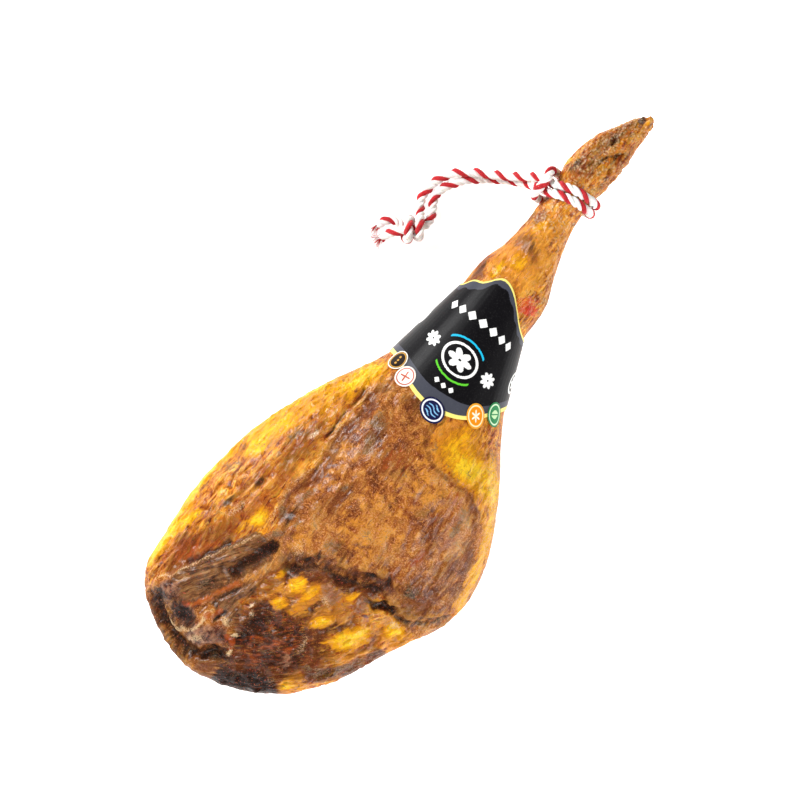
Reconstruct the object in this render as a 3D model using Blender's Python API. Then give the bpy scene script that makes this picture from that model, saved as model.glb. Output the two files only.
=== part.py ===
"""A whole dry-cured ham on the bone, lying with its meaty side up, with the paper sleeve round
its shank, the sleeve's round seals and the cord hitched round its hock.

Lengths are in metres unless a name or a comment says millimetres. +Z is up and the ham rests on
z = 0. +X runs from the rump to the foot, and +Y to the left of someone who looks that way.
"""

from dataclasses import dataclass

import bmesh
import bpy
import numpy as np

MM = 0.001
GAP = 0.3  # millimetres between pieces that touch

# Driving dimensions of the ham, in millimetres
HAM_LENGTH = 671
RUMP_NOSE = 60  # how far the rounding of the rump's end reaches along the ham
FOOT_NOSE = 9
RUMP_TIP_Y = 33
RINGS = 94
TOP_SIDES = 34  # faces of a ring from the left edge over the top to the right edge
BOTTOM_SIDES = 16
HALF = HAM_LENGTH / 2

# The outline from above and from the side, in millimetres: x, then y or z. The rounding of the
# two ends is worked out from the noses.
LEFT_EDGE = (
    (-336, 123), (-287, 125), (-194, 133), (-129, 126), (-55, 101.5), (20, 67), (94, 56),
    (131, 55.5), (160, 47.5), (190, 45.7), (233, 45.8), (250, 50.8), (281, 47), (317, 29.5),
    (336, 19),
)
RIGHT_EDGE = (
    (-336, -62), (-287, -67), (-255, -85), (-222, -99), (-184, -116), (-166, -126.5),
    (-129, -133.5), (-92, -126.5), (-36, -98), (20, -58), (60, -36), (94, -21), (131, -19.5),
    (159, -8.6), (187, 1.4), (212, 7.5), (235, 8.4), (262, 4.8), (285, 4.4), (302, 7), (336, 7),
)
TOP_EDGE = (
    (-336, 66), (-300, 80), (-222, 100), (-129, 114), (-75, 117), (20, 106), (94, 92), (160, 80),
    (210, 73), (235, 72), (258, 77), (290, 72), (336, 56),
)
BOTTOM_EDGE = (
    (-336, 30), (-300, 12), (-240, -2), (-129, -4), (-40, 0), (94, 20), (187, 31), (233, 34),
    (262, 28), (300, 30), (336, 40),
)
# How square a section is: 2 is an ellipse
SQUARENESS = ((-336, 2.6), (-200, 2.4), (-60, 2.25), (60, 2.0), (336, 2.0))

# Driving dimensions of the sleeve, in millimetres, and its angles in degrees up from the left
SLEEVE_WALL = 0.5
SLEEVE_CLEARANCE = 1.0
SLEEVE_SIDES = 60
SLEEVE_ROWS = 4
LOWER_EDGE_MIDDLE, LOWER_EDGE_TILT = 26, -13
# The lower edge's tongue: its middle, how far it spreads to the left and right, and its reach
TONGUE_ANGLE, TONGUE_LEFT, TONGUE_RIGHT, TONGUE_REACH = 87, 40, 52, 31
UPPER_EDGE_MIDDLE, UPPER_EDGE_TILT = 100, 2.5
CREST_ANGLE, CREST_RISE = 80, 31
# Each seal: the angle of its middle, how far that is past the lower edge, and its diameter
SEALS = ((37.5, -1.5, 20), (56, -1, 20.5), (87, 0.5, 22), (119, -3.5, 21), (142, -0.5, 20))
SEAL_WALL = 0.4
SEAL_SIDES = 16

# Driving dimensions of the cord, in millimetres, and its angles in degrees up from the left
CORD_DIAMETER = 8.8
CORD_RADIUS = CORD_DIAMETER / 2
BESIDE = CORD_RADIUS + GAP  # from the middle between two strands side by side to each of them
LEG = 14.5  # from the middle of the bight to each of its legs
TURN_X = 233  # the middle of the two turns where they pass over the hock
BIGHT_X = 224  # the middle of the bight, on the hock's left side
BIGHT_ANGLE = 34
HITCH_SLACK = 0.8  # how far the turns stay off the hock
EASE_STEP = 0.4  # between the points of the cord's fine line
EASE_REACH = 11  # steps to each side over which a corner is rounded
END_STEPS = 3  # steps from a stretch's end to its next point
# The stretches of the cord from one end to the other, and how far apart their points are
CORD_STRETCHES = (
    ("cord_knot_core", 5), ("cord_strand_inner", 7), ("cord_hitch", 5), ("cord_strand_outer", 7),
    ("cord_knot_wrap", 4.5),
)

# The middle line of the doubled cord from the hitch to the knot, in millimetres
DOUBLED_ROUTE = (
    (221.5, 60, 47), (217, 68, 36), (211, 78.5, 25), (204, 90, 16), (196, 102, 10.5),
    (187, 114, 9), (178, 122.5, 7), (166.5, 129.5, 5), (153, 132, 4.5),
)
STACKED = 68  # degrees by which one strand lies over the other half way
# Where the two strands part, go into the knot and end, in millimetres
KNOT_START, KNOT_END = np.array((122.5, 118.5, 14)), np.array((108.3, 131, 14))
KNOT_TURNS = 2
INNER_TO_KNOT = ((142, 121.5, 5), (131, 116.7, 9.8))
OUTER_TO_KNOT = ((144, 136, 4.5), (137.5, 132.8, 5), (132.2, 129, 8.2))
INNER_TAIL = ((101, 137, 10.5), (95, 140.5, 6), (90, 142.5, 4.6))
OUTER_TAIL = ((112.5, 139.5, 6.4), (109.5, 146, 5.2), (103.5, 150, 4.7), (97, 152.5, 4.6))

# The lines of the upper side's forms, in millimetres
AITCH_RIDGE = ((-312, 106), (-275, 84), (-252, 74), (-215, 58), (-183, 44))
MUSCLE_SEAM = ((30, 60), (-16, 61), (-74, 60), (-107, 57), (-137, 58), (-185, 55))
MEAT_RIM = (
    (-168, 66), (-186, 46), (-194, 28), (-197, 11), (-190, -5), (-178, -19), (-168, -35),
    (-160, -50), (-160, -66), (-166, -82), (-166, -98), (-150, -124),
)


@dataclass(frozen=True)
class Mound:
    """A rounded swelling, or a dent where the height is negative, in millimetres and degrees."""

    x: float
    y: float
    along: float
    across: float
    turn: float
    height: float

    def rise(self, x, y):
        angle = np.radians(self.turn)
        p = ((x - self.x) * np.cos(angle) + (y - self.y) * np.sin(angle)) / self.along
        q = ((y - self.y) * np.cos(angle) - (x - self.x) * np.sin(angle)) / self.across
        return self.height * np.exp(-((p * p + q * q) ** 1.4))


@dataclass(frozen=True)
class Furrow:
    """A groove along a line that fades at its ends, or a ridge where the height is positive."""

    line: tuple
    width: float
    height: float

    def rise(self, x, y):
        distance, _, fade = to_line(self.line, x, y)
        return self.height * fade * np.exp(-((distance / self.width) ** 2))


@dataclass(frozen=True)
class Ledge:
    """The edge of an upper layer: the ground drops on the line's right and climbs back."""

    line: tuple
    drop: float
    lip: float
    reach: float
    edge: float

    def rise(self, x, y):
        distance, left, fade = to_line(self.line, x, y)
        upper = 0.5 * (1 + np.tanh(np.where(left, distance, -distance) / self.edge))
        low = -self.drop * np.exp(-((distance / self.reach) ** 1.5))
        high = self.lip * np.exp(-((distance / (3 * self.edge)) ** 2))
        return fade * (low * (1 - upper) + high * upper)


UPPER_FORMS = (
    Mound(-80, -22, 92, 74, 0, 12),  # the large round muscle
    Mound(-142, 88, 105, 30, -6, 6),  # the flank on the left
    Mound(-58, -88, 52, 26, 20, 3),
    Mound(-238, -38, 52, 46, 20, 5),  # the muscle below the bone
    Mound(-150, 5, 34, 26, 30, 4),
    Mound(-293, 92, 11, 9, 0, 5),  # knobs of the hip bone
    Mound(-291, 67, 18, 13, 20, 7),
    Mound(-296, 40, 17, 12, 30, 7),
    Mound(-255, 40, 32, 10, -25, -4),
    Mound(160, 26, 34, 14, -6, 2),  # the calf of the shank
    Furrow(MUSCLE_SEAM, 10, -8),
    Furrow(AITCH_RIDGE, 12, 8),
    Furrow(((-296, 80), (-250, 56), (-200, 36)), 10, -5),
    Furrow(((-300, 104), (-315, 70), (-317, 45), (-303, 8)), 8, -6),
    Furrow(((-178, -56), (-172, -86), (-157, -118)), 7, -6),
    Furrow(((264, 38), (280, 20), (298, 10)), 6, -3),
    Ledge(MEAT_RIM, 9, 3, 34, 5),
)


def to_line(line, x, y):
    """From each place: the distance to the line, whether it is on its left, and the ends' fade."""
    points = np.array(line, float)
    lengths = np.linalg.norm(np.diff(points, axis=0), axis=1)
    walked = np.concatenate([[0], np.cumsum(lengths)]) / lengths.sum()
    nearest, left, along = np.full(np.shape(x), np.inf), np.zeros(np.shape(x), bool), 0.0
    for (x0, y0), (dx, dy), length, low, high in zip(
        points, np.diff(points, axis=0), lengths, walked, walked[1:]
    ):
        share = np.clip(((x - x0) * dx + (y - y0) * dy) / length**2, 0, 1)
        distance = np.hypot(x - x0 - share * dx, y - y0 - share * dy)
        closer = distance < nearest
        left = np.where(closer, dx * (y - y0) - dy * (x - x0) > 0, left)
        along = np.where(closer, low + share * (high - low), along)
        nearest = np.minimum(nearest, distance)
    fade = np.clip(np.minimum(along, 1 - along) / 0.15, 0, 1)
    return nearest, left, fade * fade * (3 - 2 * fade)


def smooth_through(points, x):
    """A curve through the points that never swings past them."""
    px, py = np.array(points, float).T
    step = np.diff(px)
    slope = np.diff(py) / step
    product, total = slope[:-1] * slope[1:], slope[:-1] + slope[1:]
    inner = np.where(product > 0, 2 * product / np.where(total == 0, 1, total), 0)
    tangent = np.concatenate([slope[:1], inner, slope[-1:]])
    i = np.clip(np.searchsorted(px, x) - 1, 0, len(step) - 1)
    t = (x - px[i]) / step[i]
    return (
        py[i] * (1 + 2 * t) * (1 - t) ** 2
        + py[i + 1] * t * t * (3 - 2 * t)
        + step[i] * (tangent[i] * t * (1 - t) ** 2 + tangent[i + 1] * t * t * (t - 1))
    )


def curve_through(points, steps=16):
    """A smooth curve through points of any kind, with a number of steps between each two."""
    points = np.array(points, float)
    ends = np.vstack([2 * points[0] - points[1], points, 2 * points[-1] - points[-2]])
    t = np.linspace(0, 1, steps, endpoint=False)[:, None]
    spans = [
        b + 0.5 * t * (c - a + t * (2 * a - 5 * b + 4 * c - d + t * (3 * b - a - 3 * c + d)))
        for a, b, c, d in zip(ends[:-3], ends[1:-2], ends[2:-1], ends[3:])
    ]
    return np.vstack([*spans, points[-1:]])


def walked_along(line):
    return np.concatenate([[0], np.cumsum(np.linalg.norm(np.diff(line, axis=0), axis=1))])


def at_spacing(line, spacing):
    """Points at an even spacing along the line."""
    walked = walked_along(line)
    places = np.linspace(0, walked[-1], max(3, round(walked[-1] / spacing) + 1))
    return np.column_stack([np.interp(places, walked, axis) for axis in line.T])


def eased(line):
    """The line at small steps with its corners rounded."""
    fine = at_spacing(line, EASE_STEP)
    before = 2 * fine[0] - fine[EASE_REACH:0:-1]
    after = 2 * fine[-1] - fine[-2 : -2 - EASE_REACH : -1]
    weights = np.hanning(2 * EASE_REACH + 3)[1:-1]
    weights /= weights.sum()
    padded = np.vstack([before, fine, after])
    return np.column_stack([np.convolve(axis, weights, "valid") for axis in padded.T])


def stretch(line, start, end, spacing):
    """A stretch of an eased line, squared off at both ends by a short first and last step."""
    piece = line[start : end + 1]
    inner = at_spacing(piece[END_STEPS:-END_STEPS], spacing)
    return np.vstack([piece[:1], inner, piece[-1:]])


def ring_of(x):
    """The ham's section at x: the middle and half sizes across and up, and its squareness."""
    rump = 1 - np.clip((x + HALF) / RUMP_NOSE, 0, 1)
    foot = np.sqrt(1 - (1 - np.clip((HALF - x) / FOOT_NOSE, 0, 1)) ** 2)
    left, right = smooth_through(LEFT_EDGE, x), smooth_through(RIGHT_EDGE, x)
    top, bottom = smooth_through(TOP_EDGE, x), smooth_through(BOTTOM_EDGE, x)
    return (
        (left + right) / 2 * (1 - rump) + RUMP_TIP_Y * rump,
        (top + bottom) / 2,
        (left - right) / 2 * (1 - rump**1.8) ** 0.65 * foot,
        (top - bottom) / 2 * (1 - rump**3) ** 0.5 * foot,
        smooth_through(SQUARENESS, x),
    )


def skin(x, angle, clearance=0.0):
    """A point off the ham, before its forms are added. Angle 0 is the left edge."""
    middle_y, middle_z, half_y, half_z, square = ring_of(x)
    across, up = np.cos(angle), np.sin(angle)
    y = middle_y + half_y * np.sign(across) * np.abs(across) ** (2 / square) + across * clearance
    z = middle_z + half_z * np.sign(up) * np.abs(up) ** (2 / square) + up * clearance
    return np.stack(np.broadcast_arrays(x, y, z), axis=-1)


def principled(name, color, roughness, metallic=0.0):
    material = bpy.data.materials.new(name)
    material.use_nodes = True
    shader = material.node_tree.nodes["Principled BSDF"]
    shader.inputs["Base Color"].default_value = (*color, 1)
    shader.inputs["Roughness"].default_value = roughness
    shader.inputs["Metallic"].default_value = metallic
    return material


def mesh_object(name, points, faces, material, collection):
    """A closed mesh from points in millimetres."""
    mesh = bpy.data.meshes.new(name)
    mesh.from_pydata([tuple(point) for point in np.array(points) * MM], [], faces)
    working = bmesh.new()
    working.from_mesh(mesh)
    bmesh.ops.recalc_face_normals(working, faces=working.faces)
    working.to_mesh(mesh)
    working.free()
    mesh.shade_smooth()
    mesh.materials.append(material)
    made = bpy.data.objects.new(name, mesh)
    collection.objects.link(made)
    return made


def cord_object(name, line, material, collection):
    """A round cord along a line of points in millimetres."""
    curve = bpy.data.curves.new(name, "CURVE")
    curve.dimensions = "3D"
    curve.bevel_depth = CORD_RADIUS * MM
    curve.bevel_resolution = 2
    curve.use_fill_caps = True
    spline = curve.splines.new("POLY")
    spline.points.add(len(line) - 1)
    for point, place in zip(spline.points, line):
        point.co = (*(place * MM), 1)
    curve.materials.append(material)
    made = bpy.data.objects.new(name, curve)
    collection.objects.link(made)
    return made


def ham_rings():
    """The ham's rings of points, with the forms of its upper side and its flat resting spot."""
    turn = np.linspace(0, np.pi, RINGS + 2)[1:-1]
    # The rings lie closer together towards both ends
    x = HALF * (0.58 * (2 * turn / np.pi - 1) - 0.42 * np.cos(turn))
    top = np.linspace(0, np.pi, TOP_SIDES, endpoint=False)
    bottom = np.linspace(np.pi, 2 * np.pi, BOTTOM_SIDES, endpoint=False)
    x, angle = np.meshgrid(x, np.concatenate([top, bottom]), indexing="ij")
    rings = skin(x, angle)
    upper = np.clip(np.sin(angle), 0, 1) ** 0.7
    under_sleeve = np.clip((np.abs(x - 60) - 76) / 26, 0, 1)
    under_hitch = 1 - np.exp(-(((x - 224) / 26) ** 6))
    forms = sum(form.rise(x, rings[..., 1]) for form in UPPER_FORMS)
    rings[..., 2] += forms * upper * under_sleeve * under_hitch
    rings[..., 2] = np.maximum(rings[..., 2], 0)
    return rings


def make_ham(collection):
    """The whole ham as one loft of rings, closed by a fan at each end."""
    rings = ham_rings()
    count, around = rings.shape[:2]
    points = [*rings.reshape(-1, 3)]
    faces = []
    for i in range(count - 1):
        for j in range(around):
            k = (j + 1) % around
            faces.append(
                (i * around + j, i * around + k, (i + 1) * around + k, (i + 1) * around + j)
            )
    for ring, tip_x in ((0, -HALF), (count - 1, HALF)):
        middle = rings[ring].mean(axis=0)
        points.append(np.array((tip_x, middle[1], middle[2])))
        for j in range(around):
            faces.append((ring * around + j, ring * around + (j + 1) % around, len(points) - 1))
    crust = principled("cured_crust", (0.42, 0.17, 0.04), 0.45)
    return mesh_object("ham", points, faces, crust, collection)


def lower_edge(angle):
    """x of the sleeve's lower edge, with a rounded tongue over the middle."""
    aside = np.degrees(angle) - TONGUE_ANGLE
    tongue = np.exp(-((aside / np.where(aside < 0, TONGUE_LEFT, TONGUE_RIGHT)) ** 2))
    return LOWER_EDGE_MIDDLE + LOWER_EDGE_TILT * np.cos(angle) - TONGUE_REACH * tongue


def upper_edge(angle):
    """x of the sleeve's upper edge, with a wavy crest over the middle."""
    degrees = np.degrees(angle)
    spread = np.where(degrees < CREST_ANGLE, 36, 46)
    crest = CREST_RISE * np.exp(-(((degrees - CREST_ANGLE) / spread) ** 2))
    wave = 4 * np.exp(-(((degrees - 36) / 10) ** 2)) - 3.5 * np.exp(-(((degrees - 57) / 9) ** 2))
    return UPPER_EDGE_MIDDLE + UPPER_EDGE_TILT * np.cos(angle) + crest + wave


def sleeve_place(share, angle, clearance):
    """A point of the paper cone, straight from its lower edge (0) to its upper edge (1) at each
    angle, and moved out where the ham bulges past it. Below 0 it follows the ham's skin."""
    low, high = lower_edge(angle), upper_edge(angle)
    foot, head = skin(low, angle, clearance), skin(high, angle, clearance)
    straight = foot + (head - foot) * np.expand_dims(share, -1)
    x = straight[..., 0]
    on_skin = skin(x, angle, clearance)
    middle_y, middle_z = ring_of(x)[:2]
    reach = np.hypot(straight[..., 1] - middle_y, straight[..., 2] - middle_z)
    needed = np.hypot(on_skin[..., 1] - middle_y, on_skin[..., 2] - middle_z)
    grow = np.where(share < 0, needed / reach, np.maximum(needed / reach, 1))
    y = middle_y + (straight[..., 1] - middle_y) * grow
    z = middle_z + (straight[..., 2] - middle_z) * grow
    return np.stack([x, y, z], axis=-1)


def make_sleeve(collection):
    """The paper cone round the shank, open at both ends."""
    angle = np.linspace(0, 2 * np.pi, SLEEVE_SIDES, endpoint=False)
    shares = np.linspace(0, 1, SLEEVE_ROWS + 1)
    points = [
        point
        for clearance in (SLEEVE_CLEARANCE, SLEEVE_CLEARANCE + SLEEVE_WALL)
        for share in shares
        for point in sleeve_place(np.full(SLEEVE_SIDES, share), angle, clearance)
    ]

    def at(side, row, j):
        return (side * len(shares) + row) * SLEEVE_SIDES + j % SLEEVE_SIDES

    faces = []
    for j in range(SLEEVE_SIDES):
        for side in (0, 1):
            for row in range(SLEEVE_ROWS):
                corners = ((row, j), (row, j + 1), (row + 1, j + 1), (row + 1, j))
                faces.append(tuple(at(side, *corner) for corner in corners))
        for row in (0, SLEEVE_ROWS):
            faces.append((at(0, row, j), at(0, row, j + 1), at(1, row, j + 1), at(1, row, j)))
    paper = principled("printed_paper", (0.02, 0.02, 0.022), 0.25)
    return mesh_object("label_sleeve", points, faces, paper, collection)


def make_seal(name, degrees, past, diameter, color, collection):
    """A round paper seal on the sleeve's lower edge, curved as the sleeve and the ham are."""
    middle = np.radians(degrees)
    middle_x = lower_edge(middle) - past
    _, _, half_y, half_z, _ = ring_of(middle_x)
    around_mm = np.hypot(half_y * np.sin(middle), half_z * np.cos(middle))
    turn = np.linspace(0, 2 * np.pi, SEAL_SIDES, endpoint=False)
    clearance = SLEEVE_CLEARANCE + SLEEVE_WALL + GAP
    points = []
    for lift in (clearance, clearance + SEAL_WALL):
        for radius in (diameter / 2, diameter / 4, 0):
            angle = middle + radius * np.sin(turn) / around_mm
            low, high = lower_edge(angle), upper_edge(angle)
            share = (middle_x + radius * np.cos(turn) - low) / (high - low)
            places = sleeve_place(share, angle, lift)
            points.extend(places if radius else places[:1])
    side = 2 * SEAL_SIDES + 1
    faces = []
    for j in range(SEAL_SIDES):
        k = (j + 1) % SEAL_SIDES
        for base in (0, side):
            inner_j, inner_k = base + SEAL_SIDES + j, base + SEAL_SIDES + k
            faces.append((base + j, base + k, inner_k, inner_j))
            faces.append((inner_j, inner_k, base + 2 * SEAL_SIDES))
        faces.append((j, k, side + k, side + j))
    return mesh_object(name, points, faces, principled(name, color, 0.3), collection)


def hitch_line():
    """The cord's way through its hitch: over the hock from the outer strand, round under it, up
    and across both strands as the bight, and round again to the inner strand."""
    # Angle, lift off the hock, share of the way from the bight to the middle of the turns, and
    # how far the two halves stand apart: 0 side by side, 1 as the bight's legs
    half_way = (
        (6, 3.8, 0, 0), (20, 0.8, 0, 0), (BIGHT_ANGLE, 0, 0, 0), (58, 0, 0.35, 0), (90, 0, 0.8, 0),
        (130, 0, 1, 0), (200, 0, 1, 0.03), (250, 0, 0.75, 0.35), (300, 0, 0.3, 0.8), (340, 0, 0, 1),
        (362, 1.5, 0, 1), (379, 6.5, 0, 0.9), (391, 9.4, 0, 0.45),
    )
    crest = (BIGHT_X, 360 + BIGHT_ANGLE, CORD_DIAMETER + 3 * GAP)

    def keys_of(side):
        return [
            (BIGHT_X + (TURN_X - BIGHT_X) * drift + side * (BESIDE + (LEG - BESIDE) * apart),
             degrees, lift)
            for degrees, lift, drift, apart in half_way
        ]

    keys = curve_through([*keys_of(1), crest, *keys_of(-1)[::-1]])
    x, angle = keys[:, 0], np.radians(keys[:, 1])
    return skin(x, angle, CORD_RADIUS + HITCH_SLACK + keys[:, 2])


def doubled_lines(hitch):
    """The outer and the inner strand from the hitch to where they part before the knot."""
    start = (hitch[0] + hitch[-1]) / 2
    middle = curve_through([start, *DOUBLED_ROUTE])
    heading = np.gradient(middle, axis=0)
    heading /= np.linalg.norm(heading, axis=1)[:, None]
    share = walked_along(middle) / walked_along(middle)[-1]
    # At the hitch the strands lie beside each other along the ham
    turned = np.clip(share / 0.2, 0, 1)
    outward = np.column_stack([heading[:, 1], -heading[:, 0] * turned, 0 * share])
    outward /= np.linalg.norm(outward, axis=1)[:, None]
    upward = np.cross(outward, heading)
    roll = np.radians(STACKED) * np.sin(np.pi * np.clip(share / 0.85, 0, 1)) ** 0.8
    offset = BESIDE * (outward * np.cos(roll)[:, None] + upward * np.sin(roll)[:, None])
    lines = []
    for line in (middle + offset, middle - offset):
        line[:, 2] = np.maximum(line[:, 2], CORD_RADIUS)
        lines.append(line)
    return lines


def knot_wrap():
    """The outer strand's turns round the inner one, from the doubled cord's side over the top."""
    along = KNOT_END - KNOT_START
    axis = along / np.linalg.norm(along)
    side = np.array((axis[1], -axis[0], 0))
    turn = np.radians(np.linspace(5, 360 * KNOT_TURNS - 70, 20 * KNOT_TURNS))
    share = np.linspace(0, 1, len(turn))[:, None]
    radius = CORD_DIAMETER + 2 * GAP
    around = side * np.cos(turn)[:, None] + np.array((0, 0, 1)) * np.sin(turn)[:, None]
    return KNOT_START + along * share + around * radius


def whole_cord():
    """The cord's line from one end through the knot, the hitch and the knot to the other end, and
    the places along it where one stretch ends and the next begins."""
    hitch, wrap, core = hitch_line(), knot_wrap(), np.array((KNOT_START, KNOT_END))
    outer, inner = doubled_lines(hitch)
    outer_run = curve_through([hitch[0], *outer[12::12], *OUTER_TO_KNOT, *wrap[:2]], 8)[:-9]
    inner_run = curve_through([hitch[-1], *inner[12::12], *INNER_TO_KNOT, *core], 8)[:-9]
    wrap_run = curve_through([*wrap[::2], wrap[-1], *OUTER_TAIL], 8)
    core_run = curve_through([*core, *INNER_TAIL], 8)
    cord = eased(
        np.vstack([core_run[::-1], inner_run[:0:-1], hitch[::-1], outer_run[1:], wrap_run])
    )
    joints = [
        int(np.linalg.norm(cord - place, axis=1).argmin())
        for place in (core[0], hitch[-1], hitch[0], wrap[0])
    ]
    return cord, [0, *joints, len(cord) - 1]


def make_cords(collection):
    """A node for each stretch of the cord."""
    cotton = principled("twisted_cotton", (0.8, 0.75, 0.72), 0.9)
    cord, ends = whole_cord()
    for (name, spacing), start, end in zip(CORD_STRETCHES, ends, ends[1:]):
        cord_object(name, stretch(cord, start + 1, end - 1, spacing), cotton, collection)


def main():
    for existing in list(bpy.data.objects):
        bpy.data.objects.remove(existing, do_unlink=True)
    collection = bpy.data.collections.new("cured_ham")
    bpy.context.scene.collection.children.link(collection)
    make_ham(collection)
    make_sleeve(collection)
    colors = ((0.05, 0.03, 0.02), (0.7, 0.6, 0.55), (0.02, 0.03, 0.12), (0.8, 0.3, 0.02),
              (0.05, 0.3, 0.12))
    for number, (seal, color) in enumerate(zip(SEALS, colors), start=1):
        make_seal(f"seal_{number}", *seal, color, collection)
    make_cords(collection)


if __name__ == "__main__":
    main()
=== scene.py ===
"""The looks of a whole dry-cured ham, seen from above on a white light table.

The ham is a fine skin laid over its CAD solid, with the creases, bone knobs and crust that are too
small for the solid. The paper sleeve and its seals are rebuilt finer and printed, and the cord is
laid up from three twisted strands along the line of its CAD tubes.

Lengths are in millimetres unless a name says otherwise. A mesh gets its metres when it is made.
"""

from __future__ import annotations

import logging
import math
from collections.abc import Sequence
from dataclasses import dataclass, field
from enum import Enum
from typing import Any, Protocol

import bpy
import numpy as np
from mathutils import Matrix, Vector, noise
from mathutils.bvhtree import BVHTree

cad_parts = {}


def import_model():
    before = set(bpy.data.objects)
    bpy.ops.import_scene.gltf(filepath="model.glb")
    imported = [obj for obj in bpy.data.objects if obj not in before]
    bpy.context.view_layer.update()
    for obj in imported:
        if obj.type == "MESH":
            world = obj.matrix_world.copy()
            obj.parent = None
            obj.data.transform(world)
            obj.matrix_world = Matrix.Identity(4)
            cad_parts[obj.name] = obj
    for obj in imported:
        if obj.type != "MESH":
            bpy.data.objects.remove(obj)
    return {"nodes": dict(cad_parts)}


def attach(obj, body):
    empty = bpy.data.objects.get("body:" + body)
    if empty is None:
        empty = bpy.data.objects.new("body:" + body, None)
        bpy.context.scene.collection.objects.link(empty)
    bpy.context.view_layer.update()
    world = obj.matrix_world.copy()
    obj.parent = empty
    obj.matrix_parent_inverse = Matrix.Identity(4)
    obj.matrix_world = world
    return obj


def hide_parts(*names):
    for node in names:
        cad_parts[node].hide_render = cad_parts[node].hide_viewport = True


LOG = logging.getLogger("cured_ham")
MM = 0.001
BODY = "root"
Line = tuple[tuple[float, float], ...]
Route = tuple[tuple[float, float, float], ...]
Faces = list[tuple[int, ...]]
PATTERN_STEP = np.array((17.31, 5.17, 11.73))  # far enough that two patterns don't look alike


# Small helpers


def linear(code: str) -> tuple[float, float, float, float]:
    """Turn an sRGB hex colour into the linear one that shaders take.

    Args:
        code: The colour, such as "#A0522D".

    Returns:
        Red, green, blue and an alpha of 1.
    """
    values = [int(code[i : i + 2], 16) / 255 for i in (1, 3, 5)]
    red, green, blue = (v / 12.92 if v <= 0.04045 else ((v + 0.055) / 1.055) ** 2.4 for v in values)
    return red, green, blue, 1.0


def smooth_step(low: float, high: float, value: np.ndarray) -> np.ndarray:
    """Ease values from 0 at low to 1 at high, or down where low is above high."""
    share = np.clip((value - low) / (high - low), 0, 1)
    return share * share * (3 - 2 * share)


def clouds(points: np.ndarray, size: float, seed: int, octaves: int = 2) -> np.ndarray:
    """Give each point a soft random value, about -1 to 1, that changes over a given size."""
    moved = points / size + PATTERN_STEP * seed
    return np.array([noise.fractal(place, 1.0, 2.1, octaves) for place in moved.tolist()])


def curve_through(points: Any, steps: int = 16) -> np.ndarray:
    """Lay a smooth curve through points.

    Args:
        points: Rows of coordinates.
        steps: Steps between each two points.

    Returns:
        The curve's points.
    """
    keys = np.array(points, float)
    ends = np.vstack([2 * keys[0] - keys[1], keys, 2 * keys[-1] - keys[-2]])
    t = np.linspace(0, 1, steps, endpoint=False)[:, None]
    spans = [
        b + 0.5 * t * (c - a + t * (2 * a - 5 * b + 4 * c - d + t * (3 * b - a - 3 * c + d)))
        for a, b, c, d in zip(ends[:-3], ends[1:-2], ends[2:-1], ends[3:])
    ]
    return np.vstack([*spans, keys[-1:]])


def walked_along(line: np.ndarray) -> np.ndarray:
    """Give the distance walked to each point of a line."""
    return np.concatenate([[0], np.cumsum(np.linalg.norm(np.diff(line, axis=0), axis=1))])


def unit(vectors: np.ndarray) -> np.ndarray:
    """Give vectors of length 1 that point the same way."""
    return vectors / np.linalg.norm(vectors, axis=-1, keepdims=True)


def carried_on(rows: np.ndarray, reach: int) -> np.ndarray:
    """Carry rows on past both ends, mirrored, so that evening them leaves the ends in place.

    Args:
        rows: Values or points, row by row.
        reach: How many rows to add at each end.

    Returns:
        The longer rows.
    """
    before = 2 * rows[:1] - rows[reach:0:-1]
    after = 2 * rows[-1:] - rows[-2 : -2 - reach : -1]
    return np.concatenate([before, rows, after])


def at_spacing(line: np.ndarray, spacing: float) -> np.ndarray:
    """Lay points at an even spacing along a line.

    Args:
        line: The line's points.
        spacing: How far apart the new ones are.

    Returns:
        The new points.
    """
    walked = walked_along(line)
    places = np.linspace(0, walked[-1], max(3, round(walked[-1] / spacing) + 1))
    return np.column_stack([np.interp(places, walked, axis) for axis in line.T])


def points_of(node: bpy.types.Object) -> np.ndarray:
    """Read a CAD node's points.

    Args:
        node: The node.

    Returns:
        The points in millimetres.
    """
    flat = np.zeros(len(node.data.vertices) * 3)
    node.data.vertices.foreach_get("co", flat)
    return flat.reshape(-1, 3) / MM


def tree_of(node: bpy.types.Object) -> BVHTree:
    """Give a search tree of a CAD node's faces, in millimetres."""
    faces = [tuple(face.vertices) for face in node.data.polygons]
    return BVHTree.FromPolygons([Vector(p) for p in points_of(node)], faces)


def grid_faces(rows: int, columns: int, start: int = 0) -> Faces:
    """List the faces of a grid of points whose rows are closed rings.

    Args:
        rows: Rows of points.
        columns: Points in a row.
        start: The number of the grid's first point.

    Returns:
        The faces, as point numbers.
    """
    faces = []
    for i in range(rows - 1):
        row, following = start + i * columns, start + (i + 1) * columns
        for j in range(columns):
            k = (j + 1) % columns
            faces.append((row + j, row + k, following + k, following + j))
    return faces


def turned_over(faces: Faces) -> Faces:
    """Give faces that look the other way."""
    return [face[::-1] for face in faces]


def rod_faces(rings: int, sides: int, start: int) -> Faces:
    """List the faces of a rod, with a cap at each end.

    Args:
        rings: Rings of points along the rod.
        sides: Points in a ring.
        start: The number of the rod's first point.

    Returns:
        The faces, as point numbers.
    """
    last = start + (rings - 1) * sides
    caps = [tuple(range(start, start + sides)), tuple(range(last, last + sides))[::-1]]
    return turned_over(grid_faces(rings, sides, start)) + caps


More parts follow.
